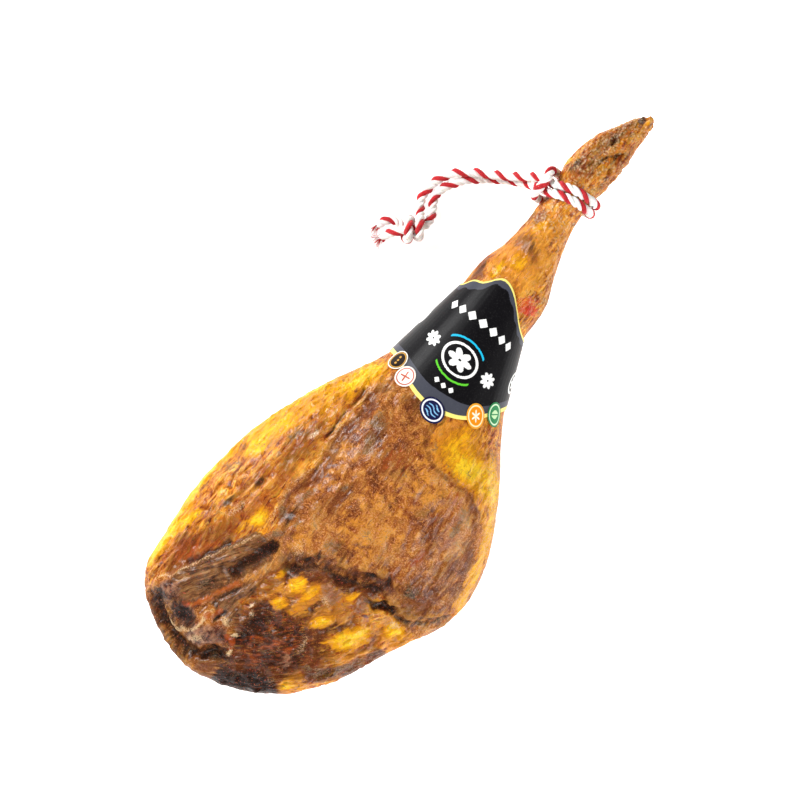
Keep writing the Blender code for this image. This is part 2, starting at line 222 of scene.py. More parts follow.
def make_piece(
    name: str, points: np.ndarray, faces: Faces, materials: Sequence[bpy.types.Material]
) -> bpy.types.Object:
    """Make a smooth-shaded mesh object that rides on the ham's body.

    Args:
        name: The piece's name.
        points: Points in millimetres.
        faces: Faces as point numbers, counter-clockwise from outside.
        materials: The piece's material slots.

    Returns:
        The object.
    """
    mesh = bpy.data.meshes.new(name)
    mesh.from_pydata((points * MM).tolist(), [], faces)
    mesh.update()
    mesh.shade_smooth()
    for material in materials:
        mesh.materials.append(material)
    piece = bpy.data.objects.new(name, mesh)
    bpy.context.scene.collection.objects.link(piece)
    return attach(piece, BODY)


def store(piece: bpy.types.Object, name: str, values: np.ndarray) -> None:
    """Keep a value or a vector for each point, for the materials to read.

    Args:
        piece: The object.
        name: The attribute's name.
        values: One number or one row of three for each point.
    """
    vector = values.ndim == 2
    kind = "FLOAT_VECTOR" if vector else "FLOAT"
    attribute = piece.data.attributes.new(name, kind, "POINT")
    attribute.data.foreach_set("vector" if vector else "value", values.astype(np.float32).ravel())


# Materials


class Recipe:
    """A material under construction: its node tree, with one way to add a node."""

    def __init__(self, name: str) -> None:
        """Start a material with a Principled shader.

        Args:
            name: The material's name.
        """
        self.material = bpy.data.materials.new(name)
        self.material.use_nodes = True
        self.tree = self.material.node_tree
        self.shader = self.tree.nodes["Principled BSDF"]

    def add(self, kind: str, settings: dict[str, Any] | None = None, **inputs: Any) -> bpy.types.Node:
        """Add a node with its settings and links.

        Args:
            kind: The node's type, without the word ShaderNode.
            settings: Its properties by name.
            **inputs: Its inputs by name with _ for a space, or i and a number. A socket is linked
                and anything else is set.

        Returns:
            The node.
        """
        node = self.tree.nodes.new("ShaderNode" + kind)
        for name, value in (settings or {}).items():
            setattr(node, name, value)
        for name, value in inputs.items():
            key = int(name[1:]) if name[0] == "i" and name[1:].isdigit() else name.replace("_", " ")
            self.feed(node.inputs[key], value)
        return node

    def feed(self, socket: bpy.types.NodeSocket, value: Any) -> None:
        """Link a socket to another one, or set its value.

        Args:
            socket: The socket to feed.
            value: A socket or a constant.
        """
        if isinstance(value, bpy.types.NodeSocket):
            self.tree.links.new(value, socket)
        else:
            socket.default_value = value

    def math(self, how: str, first: Any, second: Any = 0.0, clamp: bool = False) -> Any:
        """Give the socket of a sum of two values, kept from 0 to 1 if it is clamped."""
        settings = {"operation": how, "use_clamp": clamp}
        return self.add("Math", settings, i0=first, i1=second).outputs[0]

    def vector(self, how: str, **inputs: Any) -> Any:
        """Give the socket of a sum of vectors."""
        return self.add("VectorMath", {"operation": how}, **inputs).outputs[0]

    def scale(self, value: Any, factor: float) -> Any:
        """Give a value times a number."""
        return self.math("MULTIPLY", value, factor)

    def scaled(self, noise_value: Any, factor: float) -> Any:
        """Give a noise, moved to lie about 0, times a number."""
        return self.scale(self.math("SUBTRACT", noise_value, 0.5), factor)

    def blend(self, first: Any, second: Any, share: float) -> Any:
        """Give the share of the first value and the rest of the second."""
        return self.math("ADD", self.scale(first, share), self.scale(second, 1 - share))

    def warped(self, place: Any, size: float, reach: float, seed: float) -> Any:
        """Give a place pushed about by soft noise.

        Args:
            place: The socket of a place in millimetres.
            size: The noise's grain.
            reach: How far it pushes.
            seed: Picks one of many patterns.

        Returns:
            The moved place's socket.
        """
        where = self.add("Mapping", i0=place, Scale=(1 / size,) * 3, Location=(seed,) * 3).outputs[0]
        cloud = self.add("TexNoise", Vector=where, Scale=1.0, Detail=2.0, Roughness=0.5)
        centred = self.vector("SUBTRACT", i0=cloud.outputs["Color"], i1=(0.5, 0.5, 0.5))
        return self.vector("ADD", i0=place, i1=self.vector("SCALE", i0=centred, Scale=reach))

    def stored(self, name: str, output: str = "Fac") -> Any:
        """Give the socket of a value stored on the mesh."""
        return self.add("Attribute", {"attribute_name": name}).outputs[output]

    def millimetres(self) -> Any:
        """Give the socket of the place on the object, in millimetres."""
        return self.vector("SCALE", i0=self.add("TexCoord").outputs["Object"], Scale=1 / MM)

    def grain(self, place: Any, size: float | tuple[float, float, float], detail: float = 2.0,
              roughness: float = 0.55, seed: float = 0.0) -> Any:
        """Give soft noise whose grains have a real size.

        Args:
            place: The socket of a place in millimetres.
            size: The grains' size, or their size along each axis.
            detail: How many finer layers are added.
            roughness: How strong those are.
            seed: Picks one of many patterns.

        Returns:
            The noise's socket, about 0.2 to 0.8.
        """
        sizes = (size, size, size) if isinstance(size, (int, float)) else size
        moved = (seed, seed * 2, seed * 3)
        where = self.add("Mapping", i0=place, Scale=tuple(1 / s for s in sizes), Location=moved).outputs[0]
        cloud = self.add("TexNoise", Vector=where, Scale=1.0, Detail=detail, Roughness=roughness)
        return cloud.outputs["Fac"]

    def ramp(self, value: Any, *stops: tuple[float, str]) -> Any:
        """Give a colour that follows a value.

        Args:
            value: The value's socket.
            *stops: Each stop's place and hex colour.

        Returns:
            The colour's socket.
        """
        node = self.add("ValToRGB", Fac=value)
        elements = node.color_ramp.elements
        while len(elements) < len(stops):
            elements.new(0.5)
        for element, (place, code) in zip(elements, stops):
            element.position = place
            element.color = linear(code)
        return node.outputs["Color"]

    def between(self, value: Any, low: float, high: float) -> Any:
        """Ease from 0 where a value is at low to 1 where it is at high.

        Args:
            value: The value's socket.
            low: The value that gives 0.
            high: The value that gives 1.

        Returns:
            The eased value's socket.
        """
        node = self.add("MapRange", {"interpolation_type": "SMOOTHSTEP"}, Value=value)
        node.inputs["From Min"].default_value = low
        node.inputs["From Max"].default_value = high
        return node.outputs["Result"]

    def over(self, below: Any, *coats: tuple[Any, Any, float]) -> Any:
        """Lay coats over a colour, one after the other.

        Args:
            below: The lowest colour, a socket or a hex colour.
            *coats: Each coat's colour, its mask and the share that it covers where the mask is 1.

        Returns:
            The colour's socket.
        """
        for above, mask, share in coats:
            node = self.add("Mix", {"data_type": "RGBA"}, i0=self.scale(mask, share))
            for socket, value in ((node.inputs[6], below), (node.inputs[7], above)):
                self.feed(socket, linear(value) if isinstance(value, str) else value)
            below = node.outputs[2]
        return below

    def mixed(self, first: Any, second: Any, mask: Any) -> Any:
        """Give the first value where a mask is 0 and the second where it is 1."""
        return self.add("Mix", {"data_type": "FLOAT"}, i0=mask, i2=first, i3=second).outputs[0]

    def bump(self, height: Any, depth: float, strength: float) -> Any:
        """Give a normal bent by a height from 0 to 1 that stands for a depth in millimetres."""
        return self.add("Bump", Height=height, Distance=depth * MM, Strength=strength).outputs["Normal"]

    def finish(self, **inputs: Any) -> bpy.types.Material:
        """Set or link the shader's inputs.

        Args:
            **inputs: The inputs by name with _ for a space.

        Returns:
            The finished material.
        """
        for name, value in inputs.items():
            self.feed(self.shader.inputs[name.replace("_", " ")], value)
        return self.material


class Tone(Enum):
    """What covers a spot of the ham's skin. The values name the mesh attributes."""

    RIND = "rind"
    LEAN = "lean"
    AMBER = "amber"
    # Brown crust, with painted shade laid in some of its patches
    BROWN_AND_SHADE = "brown"
    BONE = "bone"
    FAT = "fat"
    PLUM = "plum"
    # Painted shade in hollows, creases, clefts, holes and under rims, with some black crust
    SHADE_AND_DARK_CRUST = "shade_and_dark_crust"
    MOULD = "mould"
    # Pale crust, cream rims and flakes, with a few painted highlight specks
    PALE_AND_GLINTS = "pale"
    RED = "red"
    STAIN = "stain"
    PORES = "pores"


@dataclass(frozen=True)
class CrustGrains:
    """The noises that the crust is coloured and roughened with, each a socket."""

    place: Any
    patchy: Any
    broad: Any
    middle: Any
    crumb: Any
    streaks: Any
    threads: Any
    speckled: Any
    streaky: Any


@dataclass(frozen=True)
class CuredCrust:
    """Air-dried pork with its fat and rind, rubbed with oil.

    The dried round muscle is granular and half matt. The rind and the bare lean meat are stringy
    and shine in small glints, some of them painted highlight; the fat is smooth, waxy and yellow;
    hollows are darkened with painted shade and ridges lightened with painted highlight.
    """

    meat: tuple[str, ...] = ("#5E2C10", "#8F4E20", "#B56C2C", "#CE8A42", "#E8B470")
    rind: tuple[str, ...] = ("#521E06", "#94440B", "#C76F15", "#E49722", "#FDC450")
    lean: tuple[str, ...] = ("#150804", "#391A0A", "#5E2C10", "#85461A", "#B87638")
    bone: tuple[str, ...] = ("#26170D", "#4C2F1A", "#744A28", "#91653A", "#C39E6C")
    amber: str = "#DF942F"
    russet: str = "#8E3F12"
    ochre: str = "#CB9246"
    honey: str = "#EDA92E"
    brown: str = "#5F2A0E"
    fat: tuple[str, ...] = ("#A4590F", "#DA8E14", "#F6B010", "#FFD028")
    plum: str = "#3B1C16"
    plum_light: str = "#C48C68"
    # Painted shade, also the colour of the blackest crust
    shade_and_dark_crust: str = "#170C07"
    mould: str = "#2C2723"
    mould_light: str = "#8A7453"
    pale: str = "#E6C492"
    # Painted highlight on ridges and on the lean meat's glint lines
    highlight_gold: str = "#EDAE4C"
    # Pale fat lines, which also serve as painted highlight glints
    fat_thread_and_glint: str = "#FFD88E"
    red: str = "#AE4A14"
    stain: str = "#CE2418"
    # Painted shade laid in the relief's hollows
    painted_cavity_shading: str = "#2C1309"
    crumb_mm: float = 1.3
    thread_mm: float = 1.6
    streak_mm: float = 3.6
    pore_mm: float = 3.4

    def grains(self, r: Recipe) -> CrustGrains:
        """Lay out the noises at their real sizes.

        Args:
            r: The material under construction.

        Returns:
            The noises.
        """
        place = r.warped(r.millimetres(), 16, 11, 2)
        run = r.warped(r.stored("fibres", "Vector"), 22, 10, 4)
        broad = r.grain(place, 26, 5, 0.6, 3)
        middle = r.grain(place, 8, 5, 0.7, 7)
        crumb = r.grain(place, self.crumb_mm, 3, 0.6, 11)
        streaks = r.grain(run, (22, self.streak_mm, 8), 4, 0.58, 5)
        threads = r.grain(run, (24, self.thread_mm, 4), 3, 0.6, 9)
        stringy = r.blend(streaks, threads, 0.68)
        return CrustGrains(
            place=place,
            patchy=r.blend(r.grain(place, 17, 4, 0.6, 21), streaks, 0.7),
            broad=broad,
            middle=middle,
            crumb=crumb,
            streaks=streaks,
            threads=threads,
            speckled=r.blend(r.blend(middle, broad, 0.5), crumb, 0.74),
            streaky=r.blend(stringy, middle, 0.72),
        )

    @staticmethod
    def layer(r: Recipe, tone: Tone, rag: Any, ragged: float, soft: float) -> Any:
        """Give a tone's mask, whose edge a noise makes ragged and which is soft over a width."""
        both = r.math("ADD", r.stored(tone.value), r.scaled(rag, ragged))
        return r.between(both, 0.5 - soft, 0.5 + soft)

    @staticmethod
    def thin_lines(r: Recipe, cloud: Any, width: float) -> Any:
        """Give thin lines that wander where a noise passes through its middle."""
        return r.between(r.math("ABSOLUTE", r.scaled(cloud, 1.0)), width, 0.0)

    @staticmethod
    def spread(r: Recipe, value: Any, codes: tuple[str, ...], low: float, high: float) -> Any:
        """Give colours spread evenly over a value's range."""
        step = (high - low) / (len(codes) - 1)
        return r.ramp(value, *((low + step * i, code) for i, code in enumerate(codes)))

    def dry_meat(self, r: Recipe, g: CrustGrains) -> Any:
        """Colour the round muscle's dry face: speckled, with clouds, cracks and pale crumbs.

        Args:
            r: The material under construction.
            g: Its noises.

        Returns:
            The colour's socket.
        """
        return r.over(
            self.spread(r, g.speckled, self.meat, 0.412, 0.585),
            (self.russet, r.between(g.patchy, 0.5, 0.62), 0.42),
            (self.ochre, r.between(g.patchy, 0.47, 0.36), 0.4),
            (self.brown, self.thin_lines(r, g.middle, 0.03), 0.34),
            (self.pale, r.between(g.crumb, 0.56, 0.66), 0.42),
        )

    def oiled_rind(self, r: Recipe, g: CrustGrains, veins: Any, fat_strings_and_glints: Any) -> Any:
        """Colour the rind: stringy and golden, with brown veins and pale lines of fat that also paint
        highlight glints.

        Args:
            r: The material under construction.
            g: Its noises.
            veins: The veins' mask.
            fat_strings_and_glints: The mask of the pale fat lines and painted highlight glints.

        Returns:
            The colour's socket.
        """
        return r.over(
            self.spread(r, g.streaky, self.rind, 0.402, 0.578),
            (self.russet, r.between(g.patchy, 0.5, 0.6), 0.55),
            (self.honey, r.between(g.patchy, 0.47, 0.38), 0.5),
            (self.brown, veins, 0.5),
            (self.fat_thread_and_glint, fat_strings_and_glints, 0.6),
        )

    def material(self) -> bpy.types.Material:
        """Build the material.

        Returns:
            The material, which reads the tones and the fibres' run from the mesh.
        """
        r = Recipe("cured_pork_crust_oiled")
        g = self.grains(r)
        rind = self.layer(r, Tone.RIND, g.streaky, 1.2, 0.2)
        lean = self.layer(r, Tone.LEAN, g.streaky, 3.0, 0.34)
        bone = self.layer(r, Tone.BONE, g.threads, 0.8, 0.2)
        greasy = r.math("ADD", r.stored(Tone.FAT.value), r.scaled(g.streaky, 2.4))
        fat = r.between(greasy, 0.2, 0.5)
        painted_cavity_shading = r.stored("painted_cavity_shading")
        pores = r.add("TexVoronoi", {"feature": "F1"}, Vector=g.place, Scale=1 / self.pore_mm)
        dots = r.math("MULTIPLY", r.between(pores.outputs["Distance"], 0.5, 0.15),
                      r.stored(Tone.PORES.value))
        veins = self.thin_lines(r, g.streaks, 0.04)
        # Pale fat lines along the fibres, which also paint highlight glints into the base colour
        fat_strings_and_glints = r.math("MULTIPLY", self.thin_lines(r, g.threads, 0.025), r.between(g.middle, 0.46, 0.58))
        lean_colors = self.spread(r, r.blend(g.streaky, g.broad, 0.6), self.lean, 0.39, 0.66)
        color = r.over(
            self.dry_meat(r, g),
            (self.oiled_rind(r, g, veins, fat_strings_and_glints), rind, 1.0),
            (self.amber, self.layer(r, Tone.AMBER, g.middle, 3.0, 0.35), 0.62),
            # Brown crust, with painted shade on the lower lobe, beside seal 3 and by the meat rim
            (self.brown, self.layer(r, Tone.BROWN_AND_SHADE, g.streaky, 4.0, 0.34), 0.74),
            # Painted highlight: the relief's ridges lightened
            (self.highlight_gold, r.between(painted_cavity_shading, -0.3, -1.6), 0.24),
            (r.over(lean_colors, (self.highlight_gold, fat_strings_and_glints, 0.4)), lean, 1.0),
            (r.over(self.spread(r, greasy, self.fat, 0.2, 1.1), (self.brown, veins, 0.3)), fat, 1.0),
            (self.spread(r, g.streaky, self.bone, 0.38, 0.64), bone, 1.0),
            (r.ramp(g.middle, (0.4, self.plum), (0.7, self.plum_light)),
             self.layer(r, Tone.PLUM, g.middle, 1.6, 0.25), 1.0),
            # Painted shade: the relief's hollows darkened
            (self.painted_cavity_shading, r.between(painted_cavity_shading, 0.6, 2.6), 0.6),
            # Painted shade in creases, clefts, holes and under rims, with some black crust
            (self.shade_and_dark_crust, self.layer(r, Tone.SHADE_AND_DARK_CRUST, g.streaky, 2.6, 0.34), 0.92),
            (r.ramp(g.crumb, (0.42, self.mould), (0.64, self.mould_light)),
             self.layer(r, Tone.MOULD, g.speckled, 6.0, 0.2), 0.72),
            # Pale crust and flakes, with a few painted highlight specks
            (self.pale, self.layer(r, Tone.PALE_AND_GLINTS, g.crumb, 2.2, 0.3), 0.8),
            (self.red, self.layer(r, Tone.RED, g.streaky, 3.4, 0.3), 0.66),
            (self.stain, self.layer(r, Tone.STAIN, g.crumb, 3.0, 0.3), 0.75),
            (self.pale, dots, 0.6),
        )
        stringy = r.math("MAXIMUM", rind, r.math("MAXIMUM", lean, bone))
        crust = r.mixed(r.blend(g.crumb, g.middle, 0.3), g.streaky, stringy)
        bumps = r.mixed(r.math("ADD", crust, r.scale(dots, 0.15)), g.middle, fat)
        shiny = r.scale(r.math("MAXIMUM", stringy, fat), -0.15)
        r.feed(r.shader.inputs["Subsurface Radius"], (1.0, 0.4, 0.12))
        return r.finish(
            Base_Color=color,
            Roughness=r.math("ADD", r.math("ADD", shiny, r.scale(g.middle, 0.5)), 0.4, clamp=True),
            Normal=r.bump(bumps, 8.0, 0.8),
            Subsurface_Weight=0.06,
            Subsurface_Scale=2.0 * MM,
            Specular_IOR_Level=0.08,
            Coat_Weight=0.34,
            Coat_Roughness=0.07,
            Coat_Normal=r.bump(r.blend(g.threads, g.streaks, 0.4), 1.6, 0.6),
        )


@dataclass(frozen=True)
class PrintedPaper:
    """Coated paper printed in flat inks and varnished.

    The varnish mirrors lamps as a soft band along the cone, and the print stays even below it.
    """

    name: str
    ground: str
    inks: tuple[tuple[str, str], ...]
    roughness: float = 0.3
    worn: str = "#FFFFFF"
    fibre_mm: float = 1.2
    wave_mm: float = 22.0

    def material(self) -> bpy.types.Material:
        """Build the material.

        Returns:
            The material, with each ink where its attribute on the mesh is 1.
        """
        r = Recipe(self.name)
        place = r.millimetres()
        fibres = r.grain(place, self.fibre_mm, 2, 0.5)
        inks = [(code, r.between(r.stored(name), 0.35, 0.65), 1.0) for name, code in self.inks]
        return r.finish(
            Base_Color=r.over(self.ground, *inks, (self.worn, r.between(fibres, 0.5, 0.9), 0.02)),
            Roughness=r.math("ADD", r.scale(fibres, 0.06), self.roughness),
            Normal=r.bump(r.grain(place, self.wave_mm, 2, 0.4, 4), 0.8, 0.2),
            Specular_IOR_Level=0.12,
        )


@dataclass(frozen=True)
class CottonYarn:
    """Carded cotton spun into yarn, three bundles of which are twisted into the cord.

    Matt and soft, with a fine slanting ripple of yarns and a pale fuzz at its edges.
    """

    name: str
    color: str
    shade: str
    fleck: str
    yarn_mm: float = 1.1
    fluff_mm: float = 0.8

    def material(self) -> bpy.types.Material:
        """Build the material.

        Returns:
            The material, which reads the yarns' run from the mesh.
        """
        r = Recipe(self.name)
        run = r.stored("yarns", "Vector")
        yarns = r.grain(run, (6, self.yarn_mm, 3), 2, 0.5)
        fluff = r.grain(r.millimetres(), self.fluff_mm, 2, 0.6, 6)
        base = r.ramp(yarns, (0.34, self.shade), (0.52, self.color))
        return r.finish(
            Base_Color=r.over(base, (self.fleck, r.between(fluff, 0.64, 0.76), 1.0)),
            Roughness=0.9,
            Normal=r.bump(r.math("ADD", r.scale(yarns, 0.8), r.scale(fluff, 0.3)), 0.7, 0.8),
            Sheen_Weight=0.12,
            Sheen_Roughness=0.5,
            Subsurface_Weight=0.1,
            Subsurface_Scale=1.5 * MM,
        )


# The ham


@dataclass(frozen=True)
class Sections:
    """The ham's middle line and half sizes along X, read ring by ring from its CAD solid."""

    x: np.ndarray
    middle_y: np.ndarray
    middle_z: np.ndarray
    half_y: np.ndarray
    half_z: np.ndarray

    @classmethod
    def of(cls, node: bpy.types.Object) -> Sections:
        """Read the rings of points that the solid is lofted from.

        Args:
            node: The ham's CAD node.

        Returns:
            The sections in the order of x.
        """
        points = points_of(node)
        rows = []
        for x in np.unique(np.round(points[:, 0], 1)):
            ring = points[np.abs(points[:, 0] - x) < 0.06]
            if len(ring) > 20:
                low, high = ring.min(axis=0), ring.max(axis=0)
                rows.append((x, *((low + high) / 2)[1:], *((high - low) / 2)[1:]))
        return cls(*np.array(rows).T)

    def at(self, x: np.ndarray) -> tuple[np.ndarray, ...]:
        """Give the middle's y and z and the half sizes across and up at some x."""
        values = (self.middle_y, self.middle_z, self.half_y, self.half_z)
        return tuple(np.interp(x, self.x, value) for value in values)

    def skin(self, x: np.ndarray, angle: np.ndarray, clearance: np.ndarray) -> np.ndarray:
        """Give points off the skin where the section is an ellipse, as at the hock.

        Args:
            x: Places along the ham.
            angle: Angles up from the left edge, in radians.
            clearance: How far off the skin.

        Returns:
            Rows of x, y, z.
        """
        middle_y, middle_z, half_y, half_z = self.at(x)
        y = middle_y + (half_y + clearance) * np.cos(angle)
        z = middle_z + (half_z + clearance) * np.sin(angle)
        return np.column_stack([x, y, z])


EDGE_FALL = 0.69  # leaves half of an oval's amount at its edge
TAPER = 0.12  # the share of a band's length over which each end thins


class Shape(Protocol):
    """A soft-edged area of the ham seen from above."""

    def cover(self, x: np.ndarray, y: np.ndarray) -> np.ndarray:
        """Give how much the shape covers each place."""


@dataclass(frozen=True)
class Patch:
    """A soft-edged oval, in millimetres and degrees."""

    x: float
    y: float
    along: float
    across: float
    turn: float = 0.0
    amount: float = 1.0

    def cover(self, x: np.ndarray, y: np.ndarray) -> np.ndarray:
        """Give the oval's cover at each place.

        Args:
            x: Places along the ham.
            y: Places across it.

        Returns:
            The amount in the middle, falling to 0 past the edge.
        """
        angle = math.radians(self.turn)
        p = ((x - self.x) * math.cos(angle) + (y - self.y) * math.sin(angle)) / self.along
        q = ((y - self.y) * math.cos(angle) - (x - self.x) * math.sin(angle)) / self.across
        return self.amount * np.exp(-((p * p + q * q) ** 1.5) * EDGE_FALL)


@dataclass(frozen=True)
class Band:
    """A soft-edged band along a line, thinner towards its ends."""

    line: Line
    width: float
    amount: float = 1.0
    shift: float = 0.0

    def cover(self, x: np.ndarray, y: np.ndarray) -> np.ndarray:
        """Give the band's cover at each place.

        Args:
            x: Places along the ham.
            y: Places across it.

        Returns:
            The amount on the line, falling to 0 beside it.
        """
        away, along = self.beside(x, y)
        ends = smooth_step(0, TAPER, np.minimum(along, 1 - along))
        return self.amount * ends * np.exp(-(((away - self.shift) / self.width) ** 2))

    def beside(self, x: np.ndarray, y: np.ndarray) -> tuple[np.ndarray, np.ndarray]:
        """Give the distance to the left of the line and the share of the way along it.

        Args:
            x: Places along the ham.
            y: Places across it.

        Returns:
            The signed distance and the share.
        """
        points = curve_through(self.line, 4)
        steps = np.diff(points, axis=0)
        lengths = np.linalg.norm(steps, axis=1)
        walked = walked_along(points) / lengths.sum()
        nearest, away, along = np.full(x.shape, np.inf), np.zeros(x.shape), np.zeros(x.shape)
        for (x0, y0), (dx, dy), length, low, high in zip(points, steps, lengths, walked, walked[1:]):
            share = np.clip(((x - x0) * dx + (y - y0) * dy) / length**2, 0, 1)
            distance = np.hypot(x - x0 - share * dx, y - y0 - share * dy)
            side = np.sign(dx * (y - y0) - dy * (x - x0))
            closer = distance < nearest
            away = np.where(closer, side * distance, away)
            along = np.where(closer, low + share * (high - low), along)
            nearest = np.minimum(nearest, distance)
        return away, along


@dataclass(frozen=True)
class Side:
    """All that lies to the left of a line, with a soft edge."""

    line: Line
    soft: float
    amount: float = 1.0

    def cover(self, x: np.ndarray, y: np.ndarray) -> np.ndarray:
        """Give the amount on the line's left, falling to 0 on its right."""
        away, _ = Band(self.line, 1).beside(x, y)
        return self.amount * smooth_step(-self.soft, self.soft, away)


def ovals(*rows: tuple[float, ...]) -> tuple[Patch, ...]:
    """Give a patch for each row of its place, sizes, turn and amount."""
    return tuple(Patch(*row) for row in rows)


@dataclass(frozen=True)
class Sway:
    """How far drawn outlines wander, over what distance and by which pattern."""

    reach: float
    size: float
    seed: int
    octaves: int

    def places(self, flat: np.ndarray) -> tuple[np.ndarray, ...]:
        """Give the points' swayed x and y."""
        patterns = [clouds(flat, self.size, self.seed + k, self.octaves) for k in (0, 1)]
        return tuple(flat[:, k] + self.reach * pattern for k, pattern in enumerate(patterns))


# Lines on the ham's upper side: x along it, y across
SEAM: Line = ((-4, 61), (-30, 61.5), (-60, 61.5), (-90, 60.5), (-115, 60), (-145, 62), (-172, 59), (-188, 52))
SEAM_SHADOW: Line = ((-22, 64), (-45, 65), (-70, 65.5), (-96, 64.5))
BONE_CREST: Line = ((-300, 104), (-291, 108), (-283, 105), (-275, 99), (-262, 93), (-245, 84), (-228, 76),
                    (-208, 65), (-190, 55))
BONE_SHADE: Line = ((-262, 97), (-243, 86), (-228, 79), (-212, 71))
BONE_MIDDLE: Line = ((-292, 90), (-265, 76), (-240, 64), (-215, 54), (-192, 44))
TROUGH: Line = ((-246, 58), (-234, 53), (-218, 48), (-204, 43), (-190, 39))
RED_THREAD: Line = ((-294, 78), (-283, 66), (-270, 59), (-256, 52), (-239, 42))
GRISTLE: Line = ((-280, 52), (-268, 48), (-256, 42), (-245, 36), (-232, 30))
CUP_RIM: Line = ((-307, 80), (-310, 70), (-308, 60), (-302, 53), (-293, 49), (-284, 51), (-276, 47))
HOLLOW: Line = ((-297, 106), (-306, 93), (-313, 79), (-319, 64), (-322, 48), (-318, 33), (-308, 23),
                (-296, 18))
RIND_LIP: Line = ((-298, 114), (-309, 100), (-318, 84), (-326, 66), (-331, 46), (-331, 26), (-327, 8))
MEAT_RIM: Line = ((-214, 27), (-204, 17), (-195, 7), (-187, -2), (-182, -16), (-179, -30), (-173, -46),
                  (-167, -58), (-170, -74))
MEAT_CREST: Line = ((-190, 12), (-176, 2), (-168, -12), (-163, -28), (-155, -42), (-151, -56), (-158, -68))
CLEFT: Line = ((-170, -66), (-176, -78), (-177, -92), (-173, -105), (-163, -117), (-150, -126), (-138, -131))
INNER_CLEFT: Line = ((-166, -104), (-158, -115), (-150, -123), (-143, -128))
LOBE_CREASE: Line = ((-150, -58), (-140, -50), (-124, -34), (-108, -17))
FOOT_CREASE: Line = ((268, 27), (277, 23), (287, 17), (292, 14))
FOOT_FOLD: Line = ((284, 33), (300, 24), (316, 18))
HEEL_FOLD: Line = ((250, 10), (262, 14), (275, 11))
BLACK_EDGE: Line = ((-327, 14), (-323, -6), (-317, -21), (-306, -37), (-297, -47))
GREY_FOLD: Line = ((-276, -54), (-263, -66), (-247, -83), (-226, -93), (-205, -101))
ORANGE_FOLD: Line = ((-276, -44), (-258, -52), (-244, -66), (-232, -80), (-214, -88))
RUMP_STREAK: Line = ((-312, 24), (-300, 4), (-284, -18), (-268, -36))
RIM_MIDDLE: Line = ((2, -58), (-24, -83), (-45, -98), (-80, -115), (-115, -125), (-150, -131))
FLANK_RIM: Line = ((-296, 117), (-268, 127), (-232, 131), (-190, 133), (-150, 131), (-110, 124),
                   (-60, 106), (-20, 86))
FLANK_FAT: Line = ((-150, 118), (-110, 108), (-70, 92), (-30, 76), (0, 62))
# The edges of the flank, of the right rim and of the bare lean meat, each with it on the left
FLANK_EDGE: Line = ((-340, 132), (-315, 122), (-300, 116), (-284, 108), (-268, 98), (-245, 86), (-225, 77),
                    (-205, 66), (-188, 55), (-170, 60), (-145, 63), (-115, 61), (-60, 62), (-10, 61), (5, 50),
                    (20, 38))
RIM_EDGE: Line = ((22, 30), (2, 12), (-12, -4), (-28, -14), (-37, -28), (-43, -46), (-43, -72), (-54, -93),
                  (-83, -110), (-112, -120), (-145, -127), (-200, -145))
LEAN_EDGE: Line = ((-190, -150), (-182, -122), (-177, -98), (-174, -78), (-166, -66), (-172, -50),
                   (-180, -32), (-184, -14), (-187, -2), (-196, 8), (-206, 20), (-225, 30), (-245, 32),
                   (-262, 34), (-280, 26), (-300, 8), (-330, 0))


